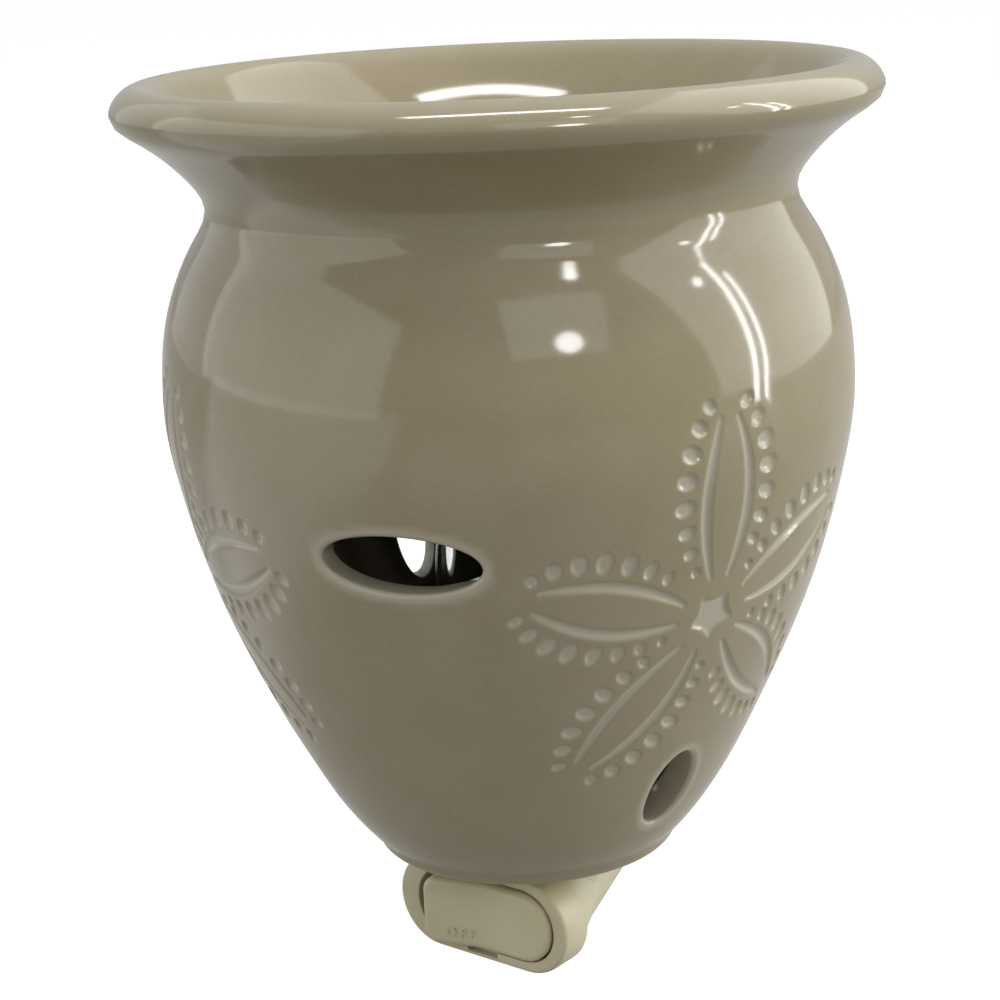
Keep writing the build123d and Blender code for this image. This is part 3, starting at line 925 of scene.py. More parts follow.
@dataclass(frozen=True)
class SandDollar:
    """A pressed sand dollar: five lens petals with rows of dots, round a small star."""

    turn: float
    level: float = 40.6
    petal_angles: Row = (91.0, 167.5, 238.2, 316.0, 23.0)
    petal_stretch: Row = (1.04, 0.98, 0.98, 0.95, 1.02)
    petal_start: float = 5.3
    petal_end: float = 24.9
    petal_half: float = 3.2
    petal_gap: float = 1.35
    petal_power: float = 0.9
    groove_half: float = 0.86
    groove_depth: float = 0.45
    groove_ends: float = 0.42
    groove_taper: float = 0.7
    groove_fade: float = 0.6
    groove_end_length: float = 1.3
    wall_power: float = 1.1
    dot_depth: float = 0.42
    dot_flatness: float = 1.5
    dot_power: float = 0.8
    star_turn: float = 3.0
    star_reach: float = 3.15
    star_waist: float = 2.15
    star_depth: float = 0.4
    star_wall: float = 0.5
    reach: float = 30.0
    dot_places: Row = (6.5, 9.1, 11.9, 15.0, 18.3, 21.4, 24.2, 26.5)
    dot_offsets: Row = (3.75, 4.85, 5.7, 6.25, 6.2, 5.6, 4.4, 2.8)
    dot_lengths: Row = (1.4, 2.0, 2.5, 2.9, 3.0, 2.8, 2.4, 2.0)
    dot_widths: Row = (1.2, 1.5, 1.75, 2.05, 2.1, 2.1, 1.9, 1.6)
    left_out: int = 1

    def _petal(self, along: Grid, across: Grid) -> tuple[Grid, Grid]:
        """Depth and nearness of one petal's two grooves.

        Args:
            along: Distance along the petal from the star's centre.
            across: Distance off the petal's middle line.

        Returns:
            Depth, and distance outside the grooves.
        """
        run, swell = self.petal_end - self.petal_start, self.petal_half - self.petal_gap
        share = np.clip((along - self.petal_start) / run, 0.0, 1.0)
        bow = np.sin(np.pi * share)
        middle = self.petal_gap + swell * bow**self.petal_power
        lean = swell * np.pi / run * np.cos(np.pi * share)
        beyond = along - (self.petal_start + share * run)
        off = (np.abs(across) - middle) / np.sqrt(1 + lean**2)
        half = self.groove_half * (self.groove_ends + (1 - self.groove_ends) * bow**self.groove_taper)
        distance = np.hypot(off, beyond * self.groove_end_length)
        shape = np.clip(1 - (distance / half) ** 2, 0, 1) ** self.wall_power
        fade = self.groove_fade + (1 - self.groove_fade) * bow
        return self.groove_depth * shape * fade, distance - half

    def _dots(self, along: Grid, across: Grid) -> tuple[Grid, Grid]:
        """Depth and nearness of the two rows of dots beside one petal.

        Args:
            along: Distance along the petal from the star's centre.
            across: Distance off the petal's middle line.

        Returns:
            Depth, and distance outside the dots.
        """
        depth, nearness = np.zeros_like(along), np.full_like(along, FAR)
        slopes = np.gradient(np.array(self.dot_offsets), np.array(self.dot_places))
        rows = zip(self.dot_places, self.dot_offsets, self.dot_lengths, self.dot_widths, slopes)
        for k, (place, offset, length, width, slope) in enumerate(rows):
            lean = math.atan(slope)
            d_along, d_side = along - place, np.abs(across) - offset
            tangent = d_along * math.cos(lean) + d_side * math.sin(lean)
            normal = d_side * math.cos(lean) - d_along * math.sin(lean)
            reach = np.hypot(tangent / (width / 2), normal / (length / 2))
            if k < self.left_out:
                reach = np.where(across < 0, FAR, reach)
            hollow = np.clip(self.dot_flatness * (1 - reach**2), 0, 1) ** self.dot_power
            depth = np.maximum(depth, self.dot_depth * hollow)
            nearness = np.minimum(nearness, (reach - 1) * min(length, width) / 2)
        return depth, nearness

    def _star(self, u: Grid, v: Grid) -> tuple[Grid, Grid]:
        """Depth and nearness of the sunk star, which has as many points as there are petals.

        Args:
            u: Distance to the right of the star's centre.
            v: Distance above it.

        Returns:
            Depth, and distance outside the star.
        """
        sector = math.tau / len(self.petal_angles)
        angle = np.arctan2(v, u) - math.pi / 2 - sector / 2 - math.radians(self.star_turn)
        folded = np.abs((angle + sector / 2) % sector - sector / 2)
        x, y = np.hypot(u, v) * np.cos(folded), np.hypot(u, v) * np.sin(folded)
        waist = Vector((math.cos(sector / 2), math.sin(sector / 2))) * self.star_waist
        edge = (waist - Vector((self.star_reach, 0))).normalized()
        distance = (x - self.star_reach) * edge.y - y * edge.x
        return self.star_depth * np.clip(0.5 - distance / self.star_wall, 0, 1) ** self.wall_power, distance

    def carve(self, u: Grid, v: Grid) -> tuple[Grid, Grid]:
        """Carve the ornament.

        Args:
            u: Distance to the right of the star's centre, along the surface.
            v: Distance above it.

        Returns:
            Depth under the surface, and distance outside the nearest cut.
        """
        depth, nearness = self._star(u, v)
        for degrees, stretch in zip(self.petal_angles, self.petal_stretch):
            angle = math.radians(degrees)
            along = (u * math.cos(angle) + v * math.sin(angle)) / stretch
            across = v * math.cos(angle) - u * math.sin(angle)
            for part in (self._petal, self._dots):
                cut, near = part(along, across)
                depth = np.where(along > 0, np.maximum(depth, cut), depth)
                nearness = np.where(along > 0, np.minimum(nearness, near), nearness)
        return depth, nearness


@dataclass(frozen=True)
class CeramicShade:
    """The glazed vase with its wax dish in one, its slots and its pressed ornament."""

    height: float = 104.5
    foot: Point = (20.8, 1.5)
    foot_round: float = 1.5
    foot_thickness: float = 8.0
    foot_soft: float = 0.5
    bore: float = 13.2
    belly: Point = (45.4, 63.0)
    neck: Point = (38.2, 88.5)
    lip: Point = (49.3, 101.0)
    crest_radius: float = 45.7
    brim: Point = (42.0, 101.9)
    dish_floor: Point = (23.0, 85.0)
    roof: Point = (27.2, 81.2)
    wall: float = 4.2
    cavity_floor: Point = (19.5, 8.0)
    sides: int = 144
    outer_steps: tuple[int, ...] = (34, 15, 11)
    inner_steps: tuple[int, ...] = (28, 16)
    lip_steps: int = 18
    dish_steps: int = 14
    foot_steps: int = 5
    floor_rings: int = 8
    rim_steps: int = 6
    refinings: int = 3
    patch: float = 9.5
    patch_face: float = 0.9
    patch_margin: float = 3.0
    hole_margin: float = 0.2
    measure: int = 12
    skin_depth: float = 0.6
    refine_off_rim: float = 0.3
    press_skin: float = 0.4
    press_fade: float = 0.8
    press_off_rim: float = 0.02
    press_off_lip: float = 0.5
    thin_depth: float = 0.26
    thin_cut: float = 0.95
    thin_rim: float = 0.75
    thin_rim_width: float = 0.9
    thin_rim_radius: float = 19.0
    thin_lip: float = 0.4
    thin_lip_levels: Point = (101.3, 104.3)
    thin_lip_radii: Point = (41.0, 44.0)
    bare_level: float = 0.25
    bare_bore: float = 0.1
    body_shares: tuple[Point, ...] = ((0.104, 0.209), (0.328, 0.508), (0.584, 0.776), (0.840, 0.949))
    shoulder_shares: tuple[Point, ...] = ((0.471, 0.181), (0.667, 0.429), (0.824, 0.724))
    flare_shares: tuple[Point, ...] = ((0.280, 0.144), (0.440, 0.305), (0.760, 0.747))
    bowl_shares: tuple[Point, ...] = ((0.29, 0.22), (0.63, 0.42), (0.92, 0.69))
    roof_shares: tuple[Point, ...] = ((0.55, 0.30), (0.94, 0.62))
    slots: tuple[Slot, ...] = (
        Slot(-0.7, 50.6, 20.0, 7.3, 1.8),
        Slot(57.0, 14.1, 6.8, 11.2),
        Slot(-57.0, 14.1, 6.8, 11.2),
        Slot(136.6, 35.0, 5.8, 14.0),
        Slot(-136.6, 35.0, 5.8, 14.0),
    )
    ornaments: tuple[SandDollar, ...] = (
        SandDollar(53.0),
        SandDollar(-59.7, 42.0, (76.0, 167.5, 238.2, 308.0, 16.5)),
        SandDollar(180.0),
    )

    def outer(self, fine: int = 1) -> list[Point]:
        """Outline from the foot's rounding to the lip's widest ring.

        Args:
            fine: How many times as many points as in the mesh.

        Returns:
            Radius and height of each point.
        """
        body = between(self.foot, self.belly, self.body_shares)
        shoulder = between(self.belly, self.neck, self.shoulder_shares)
        flare = between(self.neck, self.lip, self.flare_shares)
        low, middle, high = (steps * fine for steps in self.outer_steps)
        line = smooth_curve([self.foot, *body, self.belly], (1, 1), (0, 1), low)
        line += smooth_curve([self.belly, *shoulder, self.neck], (0, 1), (0, 1), middle)[1:]
        return line + smooth_curve([self.neck, *flare, self.lip], (0, 1), (0, 1), high)[1:]

    def inner(self, fine: int = 1) -> list[Point]:
        """Outline of the cavity from its floor up to the underside of the dish.

        Args:
            fine: How many times as many points as in the mesh.

        Returns:
            Radius and height of each point.
        """
        body = [(r - self.wall, h) for r, h in between(self.foot, self.belly, self.body_shares)[1:]]
        shoulder_r, shoulder_h = between(self.belly, self.neck, self.shoulder_shares)[0]
        shoulder = (shoulder_r - self.wall, shoulder_h)
        widest = (self.belly[0] - self.wall, self.belly[1])
        over = between(shoulder, self.roof, self.roof_shares)
        low, high = (steps * fine for steps in self.inner_steps)
        line = smooth_curve([self.cavity_floor, *body, widest], (1, 1), (0, 1), low)
        return line + smooth_curve([widest, shoulder, *over, self.roof], (0, 1), (-1, 0), high)[1:]

    def profile(self) -> list[Point]:
        """The whole section, from the dish's middle over the lip and round to its underside's middle.

        Returns:
            Radius and height of each point.
        """
        bowl = between(self.brim, self.dish_floor, self.bowl_shares)
        shares = [k / self.floor_rings for k in range(self.floor_rings)]
        floor = [(self.dish_floor[0] * share, self.dish_floor[1]) for share in shares]
        ceiling = [(self.roof[0] * share, self.roof[1]) for share in shares]
        crest = (self.crest_radius, self.height)
        edge = smooth_curve([self.lip, crest, self.brim], (0, 1), (-1, -1), self.lip_steps)
        dish = smooth_curve([self.brim, *bowl, self.dish_floor], (-1, -1), (-1, 0), self.dish_steps)
        round_foot, soft, thick = self.foot_round, self.foot_soft, self.foot_thickness
        heel = self.foot[0] - round_foot
        turns = quarter(self.foot_steps)[:-1]
        sole = [(heel + round_foot * math.sin(a), round_foot * (1 - math.cos(a))) for a in turns]
        ring = [(heel - soft, 0.0), ((self.bore + heel) / 2, 0.0), (self.bore + soft, 0.0)]
        ring += [(self.bore, soft), (self.bore, thick - soft)]
        ring += [(self.bore + soft, thick), (self.cavity_floor[0] - soft, thick)]
        top = floor + dish[::-1] + edge[::-1][1:]
        return top + self.outer()[::-1][1:] + sole[::-1] + ring + self.inner() + ceiling[::-1]

    @staticmethod
    def _skin(line: Sequence[Point], z: Grid) -> Grid:
        """Radius of an outline at some heights."""
        radii, heights = np.array(line).T
        return np.interp(z, heights, radii)

    def _border(self, edge: bmesh.types.BMEdge, slot: Slot, outside: list[Point] | None = None) -> bool:
        """Whether an open edge lies round a slot's hole, and not at the rim of the lifted patch.

        Args:
            edge: The edge.
            slot: The slot.
            outside: The outer outline, for an edge that has to be on the outer skin.

        Returns:
            True for such an edge.
        """
        if not edge.is_boundary:
            return False
        x, y, z = middle = (edge.verts[0].co + edge.verts[1].co) / 2 / MM
        outer = outside is None or math.hypot(x, y) > float(self._skin(outside, z)) - self.wall / 2
        return outer and float(slot.gap(middle)) < self.patch / 2

    def _cut_slot(self, piece: Thing, slot: Slot) -> None:
        """Open one slot through the wall, with rounded rims on both sides.

        Args:
            piece: The shade's lifted patch, about the origin.
            slot: The slot.
        """
        mesh = piece.data
        outside = self.outer(self.measure)
        inside = [p for p in self.inner(self.measure) if p[1] < self.belly[1]]
        _, spread = Survey.faces(mesh)
        reach = max(slot.outer_rim, slot.inner_rim) + self.patch_margin
        near = Survey.by_face(mesh, slot.gap(Survey.points(mesh))) < reach
        Bench.refine(piece, near & (spread > self.patch_face))
        x, y, z = places = Survey.points(mesh)
        gaps = Survey.by_face(mesh, slot.gap(places))
        doomed = np.zeros(len(mesh.polygons), bool)
        for line, rim in ((inside, slot.inner_rim), (outside, slot.outer_rim)):
            off_skin = Survey.by_face(mesh, np.abs(np.hypot(x, y) - self._skin(line, z)), True)
            doomed |= (off_skin < self.skin_depth) & (gaps < rim + self.hole_margin)
        Bench.edit_faces(piece, doomed)
        bpy.ops.mesh.delete(type="FACE")
        bpy.ops.mesh.select_mode(type=Pick.EDGES.value)
        Bench.pick_edges(piece, lambda e: self._border(e, slot, outside))
        shape = bmesh.from_edit_mesh(mesh)
        order = shape.verts.layers.float.new(ORDER)
        ring = self._walk([e for e in shape.edges if e.select])
        shares = []
        for vertex in ring:
            along, across, _ = slot.local(vertex.co / MM)
            shares.append(math.atan2(across / slot.height, along / slot.length))
        for vertex, share in zip(ring, self._evened(shares)):
            vertex[order] = share
        bmesh.update_edit_mesh(mesh)

        def lifted(line: list[Point], grow: float, sink: float, share: float) -> Vector:
            """Place a ring's point on one skin and sink it along the slot's axis.

            Args:
                line: Outline of the skin.
                grow: How far outside the slot's outline it is.
                sink: How deep it is sunk.
                share: Angle round the slot.

            Returns:
                The place in metres.
            """
            across, up = slot.ring_point(share, grow)
            radius = float(self._skin(line, up))
            return slot.place(across, math.sqrt(max(radius**2 - across**2, 0.0)) - sink, up)

        bends = quarter(self.rim_steps)
        rings = [(outside, slot.outer_rim, slot.outer_rim, bend) for bend in bends]
        rings += [(inside, slot.inner_rim, -slot.inner_rim, bend) for bend in bends[::-1]]
        for line, rim, sink, bend in rings:
            grow, deep = rim * (1 - math.sin(bend)), sink * (1 - math.cos(bend))
            Bench.draw_out(piece, partial(lifted, line, grow, deep))
        Bench.pick_edges(piece, lambda e: self._border(e, slot))
        bpy.ops.mesh.bridge_edge_loops()
        Bench.done()
        mesh.attributes.remove(mesh.attributes[ORDER])

    @staticmethod
    def _walk(border: list[bmesh.types.BMEdge]) -> list[bmesh.types.BMVert]:
        """Put the points of a closed ring of edges in order.

        Args:
            border: The ring's edges.

        Returns:
            Its points.
        """
        links: dict[bmesh.types.BMVert, list[bmesh.types.BMVert]] = {}
        for edge in border:
            first, second = edge.verts
            links.setdefault(first, []).append(second)
            links.setdefault(second, []).append(first)
        start = border[0].verts[0]
        ring, last = [start], None
        while True:
            onward = [v for v in links[ring[-1]] if v is not last]
            last = ring[-1]
            if onward[0] is start or len(ring) > len(links):
                return ring
            ring.append(onward[0])

    @staticmethod
    def _evened(shares: list[float]) -> list[float]:
        """Unwrap the angles round a ring and even them out a little.

        Args:
            shares: Angle of each point.

        Returns:
            The evened angles.
        """
        values = np.unwrap(np.array(shares))
        turn = math.tau if values[-1] > values[0] else -math.tau
        for _ in range(EVEN_PASSES):
            before = np.concatenate([[values[-1] - turn], values[:-1]])
            after = np.concatenate([values[1:], [values[0] + turn]])
            values = (before + 2 * values + after) / 4
        return [float(v) for v in values]

    def _around(self, places: Places, dollar: SandDollar) -> tuple[Grid, Grid]:
        """Distances along the skin from an ornament's centre.

        Args:
            places: The x, y and z of some points.
            dollar: The ornament.

        Returns:
            Distance rightwards and distance upwards.
        """
        x, y, z = places
        line = np.array(self.outer(self.measure))
        lengths = np.concatenate([[0.0], np.cumsum(np.linalg.norm(np.diff(line, axis=0), axis=1))])
        turn = np.arctan2(x, -y) - math.radians(dollar.turn)
        turn = (turn + math.pi) % math.tau - math.pi
        rise = np.interp(z, line[:, 1], lengths) - np.interp(dollar.level, line[:, 1], lengths)
        return turn * np.hypot(x, y), rise

    def _near_cut(self, places: Places, margin: Grid) -> Grid:
        """Whether points of the outer skin lie within a margin of a cut and clear of the slots.

        Args:
            places: The x, y and z of the points.
            margin: Each point's own margin.

        Returns:
            One truth value for each point.
        """
        x, y, z = places
        on_skin = np.abs(np.hypot(x, y) - self._skin(self.outer(self.measure), z)) < self.skin_depth
        wanted = np.zeros(len(x), bool)
        for dollar in self.ornaments:
            u, v = self._around(places, dollar)
            close = on_skin & (np.hypot(u, v) < dollar.reach)
            wanted[close] |= dollar.carve(u[close], v[close])[1] < margin[close]
        for slot in self.slots:
            wanted &= slot.gap(places) > slot.outer_rim + self.refine_off_rim
        return wanted

    def _press(self, piece: Thing) -> None:
        """Press the sand dollars into the skin.

        Args:
            piece: The shade, with its slots open.
        """
        mesh = piece.data
        x, y, z = old = Survey.points(mesh)
        line = self.outer(self.measure)
        radius, skin = np.hypot(x, y), self._skin(line, z)
        rim = np.full_like(x, FAR)
        for slot in self.slots:
            rim = np.minimum(rim, slot.gap(old) - slot.outer_rim)
        on_skin = (np.abs(radius - skin) < self.press_skin) & (rim > self.press_off_rim)
        on_skin &= (z > self.foot[1]) & (z < self.lip[1] - self.press_off_lip)
        radii, heights = np.array(line).T
        lean = np.interp(z, heights, np.gradient(radii, heights))
        depth = np.zeros_like(x)
        for dollar in self.ornaments:
            u, v = self._around(old, dollar)
            close = np.hypot(u, v) < dollar.reach
            depth[close] = np.maximum(depth[close], dollar.carve(u[close], v[close])[0])
        depth *= np.clip(rim / self.press_fade, 0, 1) * on_skin
        norm = np.sqrt(1 + lean**2)
        factor = (np.where(on_skin, skin, radius) - depth / norm) / np.maximum(radius, TINY)
        pressed = np.stack([x * factor, y * factor, z + depth * lean / norm])
        places = np.where(on_skin, pressed, old)
        mesh.vertices.foreach_set("co", (places.T * MM).ravel())
        self._mark(mesh, depth, rim, z, radius)
        mesh.update()

    def _mark(self, mesh: Mesh, depth: Grid, rim: Grid, z: Grid, r: Grid) -> None:
        """Store where the glaze is thin, and where the foot is bare, on the mesh's points.

        Args:
            mesh: The shade's mesh.
            depth: How deep each point is pressed.
            rim: How far it is outside the nearest slot's rim.
            z: Its height.
            r: Its distance from the axis.
        """
        cut = self.thin_cut * np.interp(depth, (0, self.thin_depth), (0, 1))
        edge = self.thin_rim * np.interp(rim, (0, self.thin_rim_width), (1, 0)) * (r > self.thin_rim_radius)
        crest = np.interp(z, self.thin_lip_levels, (0, 1)) * np.interp(r, self.thin_lip_radii, (0, 1))
        thin = np.maximum(np.maximum(cut, edge), self.thin_lip * crest)
        bare = ((z < self.bare_level) & (r > self.bore - self.bare_bore)).astype(float)
        for name, values in (("thin_glaze", thin), ("bare_foot", bare)):
            mark = mesh.attributes.new(name, "FLOAT", "POINT")
            mark.data.foreach_set("value", values.astype(np.float32))

    def build(self) -> None:
        """Spin the section, refine it while it is even, open the slots, then press the ornament."""
        piece = Bench.turned("shade_glazed", self.profile(), self.sides)
        for _ in range(self.refinings):
            centres, spread = Survey.faces(piece.data)
            Bench.refine(piece, self._near_cut(centres, spread))
        places = Survey.points(piece.data)
        near = [Survey.by_face(piece.data, slot.gap(places)) < self.patch for slot in self.slots]
        patch = Bench.lifted_out(piece, np.any(near, axis=0))
        for slot in self.slots:
            self._cut_slot(patch, slot)
        piece = Bench.merged(Bench.joined("shade_glazed", [piece, patch]))
        self._press(piece)
        place = Matrix.Translation(Vector((0, LAMP_AXIS_Y, FOOT_LEVEL)) * MM)
        hand_over(piece, "shade", Finish.GLAZE, "ceramic_shade", place, sharp=80.0)


@dataclass(frozen=True)
class SwitchCase:
    """The moulded case: rim, window, notches and the spigot that enters the elbow.

    Levels run outwards from the lamp axis along the switch's own normal.
    """

    size: Point = (29.0, 13.6)
    back: float = 5.9
    face: float = 11.1
    edge: float = 0.7
    soft: float = 0.3
    window: Point = (24.8, 10.5)
    left_rim: float = 1.3
    window_floor: float = 6.45
    notch_half: float = 2.6
    notch_height: float = 0.9
    notch_floor: float = 9.9
    spigot: Point = (19.0, 11.0)
    spigot_back: float = -0.5
    cavity: Point = (16.4, 8.4)
    cavity_floor: float = 0.9
    end_steps: int = 20
    edge_steps: int = 5
    soft_steps: int = 3
    notch_side: float = 0.04

    def _ring(
        self, size: Point, level: float, grow: float = 0.0, notch: float = 0.0, left: float = 0.0
    ) -> list[Spot]:
        """Stadium at one level.

        Args:
            size: Length and height over all.
            level: Level along the normal.
            grow: How much longer and higher it is than that.
            notch: How far the middle of each long side is pushed out.
            left: How much shorter it is at its left end.

        Returns:
            The points, the same number for every stadium.
        """
        long, high = size[0] + grow, size[1] + grow
        radius, centre = high / 2, (long - high) / 2
        half, step = self.notch_half, self.notch_side
        ring = []
        for side in (1, -1):
            for k in range(self.end_steps + 1):
                angle = math.pi * (k / self.end_steps - 0.5)
                x = side * (centre + radius * math.cos(angle)) + (left if side < 0 else 0.0)
                ring.append((x, -level, side * radius * math.sin(angle)))
            for x in (half + step, half, half / 3, -half / 3, -half, -half - step):
                out = radius + (notch if abs(x) <= half else 0.0)
                ring.append((side * x, -level, side * out))
        return ring

    def build(self) -> None:
        """Model the case from the spigot's back over the rim to the cavity's floor."""
        soft, left, notch = self.soft, self.left_rim, self.notch_height
        rings = [
            self._ring(self.spigot, self.spigot_back, -soft),
            self._ring(self.spigot, self.spigot_back + soft),
            self._ring(self.spigot, self.back),
            self._ring(self.size, self.back, -soft),
            self._ring(self.size, self.back + soft),
        ]
        for turn in quarter(self.edge_steps):
            inset = 2 * self.edge * (1 - math.cos(turn))
            rings.append(self._ring(self.size, self.face - self.edge * (1 - math.sin(turn)), -inset))
        for turn in quarter(self.soft_steps):
            level = self.face - soft / 2 * (1 - math.cos(turn))
            rings.append(self._ring(self.window, level, soft * (1 - math.sin(turn)), notch, left))
        rings += [
            self._ring(self.window, self.notch_floor, 0.0, notch, left),
            self._ring(self.window, self.notch_floor, left=left),
            self._ring(self.window, self.window_floor, left=left),
            self._ring(self.cavity, self.window_floor),
            self._ring(self.cavity, self.cavity_floor),
        ]
        piece = Bench.sleeve("switch_case_rim", rings)
        hand_over(piece, "base", Finish.IVORY, "switch_case", AT_SWITCH)


@dataclass(frozen=True)
class Rocker:
    """The V-shaped rocker with its left lobe proud and a faint raised OFF on it.

    It is drawn with the pin at the origin and both lobes raised alike, then turned as it stands.
    """

    pin_level: float = 8.5
    valley: float = 3.636
    valley_soft: float = 0.8
    tilt: float = 9.0
    left: float = -8.45
    right: float = 11.45
    half_height: float = 4.9
    thickness: float = 3.3
    left_round: float = 1.9
    right_round: float = 4.6
    least_round: float = 0.05
    edge: float = 0.95
    back_edge: float = 0.2
    insets: Row = (4.9, 4.3, 3.4, 2.5, 1.7)
    boss: float = 1.9
    boss_short: float = 0.15
    boss_sides: int = 32
    stem: Spot = (1.6, 3.3, 2.4)
    stem_start: float = 0.1
    corner_steps: int = 10
    edge_steps: int = 6
    side_shares: Row = (0.97, 0.8, 0.6, 0.42, 0.28, 0.16, 0.08)
    letter_size: float = 1.96
    letter_spacing: float = 1.5
    letter_place: Point = (-2.9, -2.7)
    letter_rise: float = 0.2
    letter_weight: float = 0.05
    letter_steps: int = 3

    def _front(self, x: float) -> float:
        """Level of the front surface, which falls to a soft valley over the pin."""
        rise = math.hypot(x, self.valley_soft) - self.valley_soft
        return self.valley + rise * math.tan(math.radians(self.tilt))

    def _ring(self, inset: float, drop: float) -> list[Spot]:
        """Ring round the lobes.

        Args:
            inset: Distance inside the outline.
            drop: Depth under the front surface.

        Returns:
            The points, the same number for every ring.
        """
        half = self.half_height - inset
        rounds = {1: self.right_round, -1: self.left_round}
        radii = {end: min(max(r - inset, self.least_round), half) for end, r in rounds.items()}
        centres = {1: self.right - inset - radii[1], -1: self.left + inset + radii[-1]}
        shares = (*self.side_shares, 0.0, *(-share for share in self.side_shares[::-1]))
        places = []
        for side in (1, -1):
            for end in (side, -side):
                turns = quarter(self.corner_steps)
                for angle in turns if end == side else turns[::-1]:
                    along = centres[end] + end * radii[end] * math.cos(angle)
                    places.append((along, side * (half - radii[end] + radii[end] * math.sin(angle))))
                if end == side:
                    for share in (side * share for share in shares):
                        places.append((abs(share) * centres[1 if share > 0 else -1], side * half))
        return [(x, drop - self._front(x), z) for x, z in places]

    def _lobes(self) -> Thing:
        """Draw the two lobes as one plate with rounded edges.

        Returns:
            The plate.
        """
        rings = [self._ring(inset, 0.0) for inset in self.insets]
        for turn in quarter(self.edge_steps):
            rings.append(self._ring(self.edge * (1 - math.sin(turn)), self.edge * (1 - math.cos(turn))))
        rings.append(self._ring(0.0, self.thickness - self.back_edge))
        rings += [self._ring(inset, self.thickness) for inset in (self.back_edge, *self.insets[::-1])]
        return Bench.sleeve("rocker_lobes", rings)

    def _letters(self) -> Thing:
        """Raise the word OFF on the left lobe.

        Returns:
            The letters, in their place on the lobe.
        """
        Bench.clear()
        bpy.ops.object.text_add()
        text = bpy.context.object.data
        text.body = "OFF"
        text.align_x, text.align_y = "CENTER", "CENTER"
        text.size = self.letter_size * MM
        text.space_character = self.letter_spacing
        text.offset = self.letter_weight * MM
        text.extrude = self.letter_rise * MM
        text.resolution_u = self.letter_steps
        bpy.ops.object.convert(target="MESH")
        letters = Bench.named("rocker_letters")
        x, z = self.letter_place
        lean = Matrix.Rotation(math.radians(self.tilt), 4, "Z") @ Matrix.Rotation(math.pi / 2, 4, "X")
        letters.data.transform(Matrix.Translation(Vector((x, -self._front(x), z)) * MM) @ lean)
        return letters

    def _back(self) -> list[Thing]:
        """Draw the boss round the pin and the stem that works the bridge.

        Returns:
            Both pieces.
        """
        Bench.clear()
        depth = 2 * (self.half_height - self.boss_short) * MM
        bpy.ops.mesh.primitive_cylinder_add(vertices=self.boss_sides, radius=self.boss * MM, depth=depth)
        boss = Bench.named("rocker_boss")
        Bench.clear()
        bpy.ops.mesh.primitive_cube_add(size=MM)
        stem = Bench.named("rocker_stem")
        turn = Matrix.Rotation(math.radians(-self.tilt), 4, "Z")
        shift = Matrix.Translation(Vector((0, self.stem[1] / 2 + self.stem_start, 0)) * MM)
        stem.data.transform(turn @ shift @ Matrix.Diagonal((*self.stem, 1.0)))
        return [boss, stem]

    def build(self) -> None:
        """Model the rocker and put it in the window as it stands in the photograph."""
        lobes, letters, back = self._lobes(), self._letters(), self._back()
        Bench.settle(lobes, IN_PLACE, sharp=50.0)
        piece = Bench.joined("rocker_off_lobe", [lobes, letters, *back])
        turn = Matrix.Rotation(math.radians(self.tilt), 4, "Z")
        place = AT_SWITCH @ Matrix.Translation(Vector((0, -self.pin_level, 0)) * MM) @ turn
        hand_over(piece, "rocker", Finish.IVORY, "switch_rocker", place, sharp=45.0)


@dataclass(frozen=True)
class Screws:
    """A set of equal screws with a domed head and a cross recess.

    Head: radius and height. Shank: radius and length. Cross: reach, half the arms' width and depth. The
    recess's rings are shares of the cross's reach, depth and width. Places: position and direction.
    """

    name: str
    node: str
    head: Point
    shank: Point
    cross: Spot
    places: tuple[tuple[Spot, Spot], ...]
    sides: int = 48
    chamfer: float = 0.1
    tip: float = 0.3
    crown: float = 0.55
    crown_steps: int = 4
    recess: tuple[Spot, ...] = ((1.0, 0.0, 1.0), (0.8, 0.8, 0.8), (0.25, 1.0, 0.7))

    def _ring(self, radius: float, level: float, cross: float = 0.0) -> list[Spot]:
        """Ring of the screw, round or in the recess's cross shape.

        Args:
            radius: Its radius, or the cross's reach.
            level: Its height above the head's underside.
            cross: Half the width of the cross's arms; 0 is round.

        Returns:
            The points.
        """
        ring = []
        for angle in (math.tau * k / self.sides for k in range(self.sides)):
            folded = abs((angle + math.pi / 4) % (math.pi / 2) - math.pi / 4)
            reach = radius
            if cross:
                flat = math.tan(folded) < cross / radius
                reach = radius / math.cos(folded) if flat else cross / math.sin(folded)
            ring.append((reach * math.cos(angle), reach * math.sin(angle), level))
        return ring

    def _screw(self) -> Thing:
        """Draw one screw, its head upwards and the head's underside at the origin.

        Returns:
            The screw.
        """
        (radius, thick), (shank, length), (reach, half, deep) = self.head, self.shank, self.cross
        soft = self.chamfer
        rings = [self._ring(shank * self.tip, -length), self._ring(shank, -length + shank)]
        rings += [self._ring(shank, 0.0), self._ring(radius - soft, 0.0), self._ring(radius, soft)]
        for turn in quarter(self.crown_steps)[1:]:
            dome = radius * (self.crown + (1 - self.crown) * math.cos(turn))
            rings.append(self._ring(dome, soft + (thick - soft) * math.sin(turn)))
        for across, down, width in self.recess:
            rings.append(self._ring(reach * across, thick - deep * down, half * width))
        return Bench.sleeve(self.name, rings)

    def build(self) -> None:
        """Model the screws where they are driven."""
        pieces = []
        for position, direction in self.places:
            piece = self._screw()
            turn = Vector(direction).to_track_quat("Z", "Y").to_matrix().to_4x4()
            piece.data.transform(Matrix.Translation(Vector(position) * MM) @ turn)
            pieces.append(piece)
        hand_over(Bench.joined(self.name, pieces), "base", Finish.STEEL, self.node)


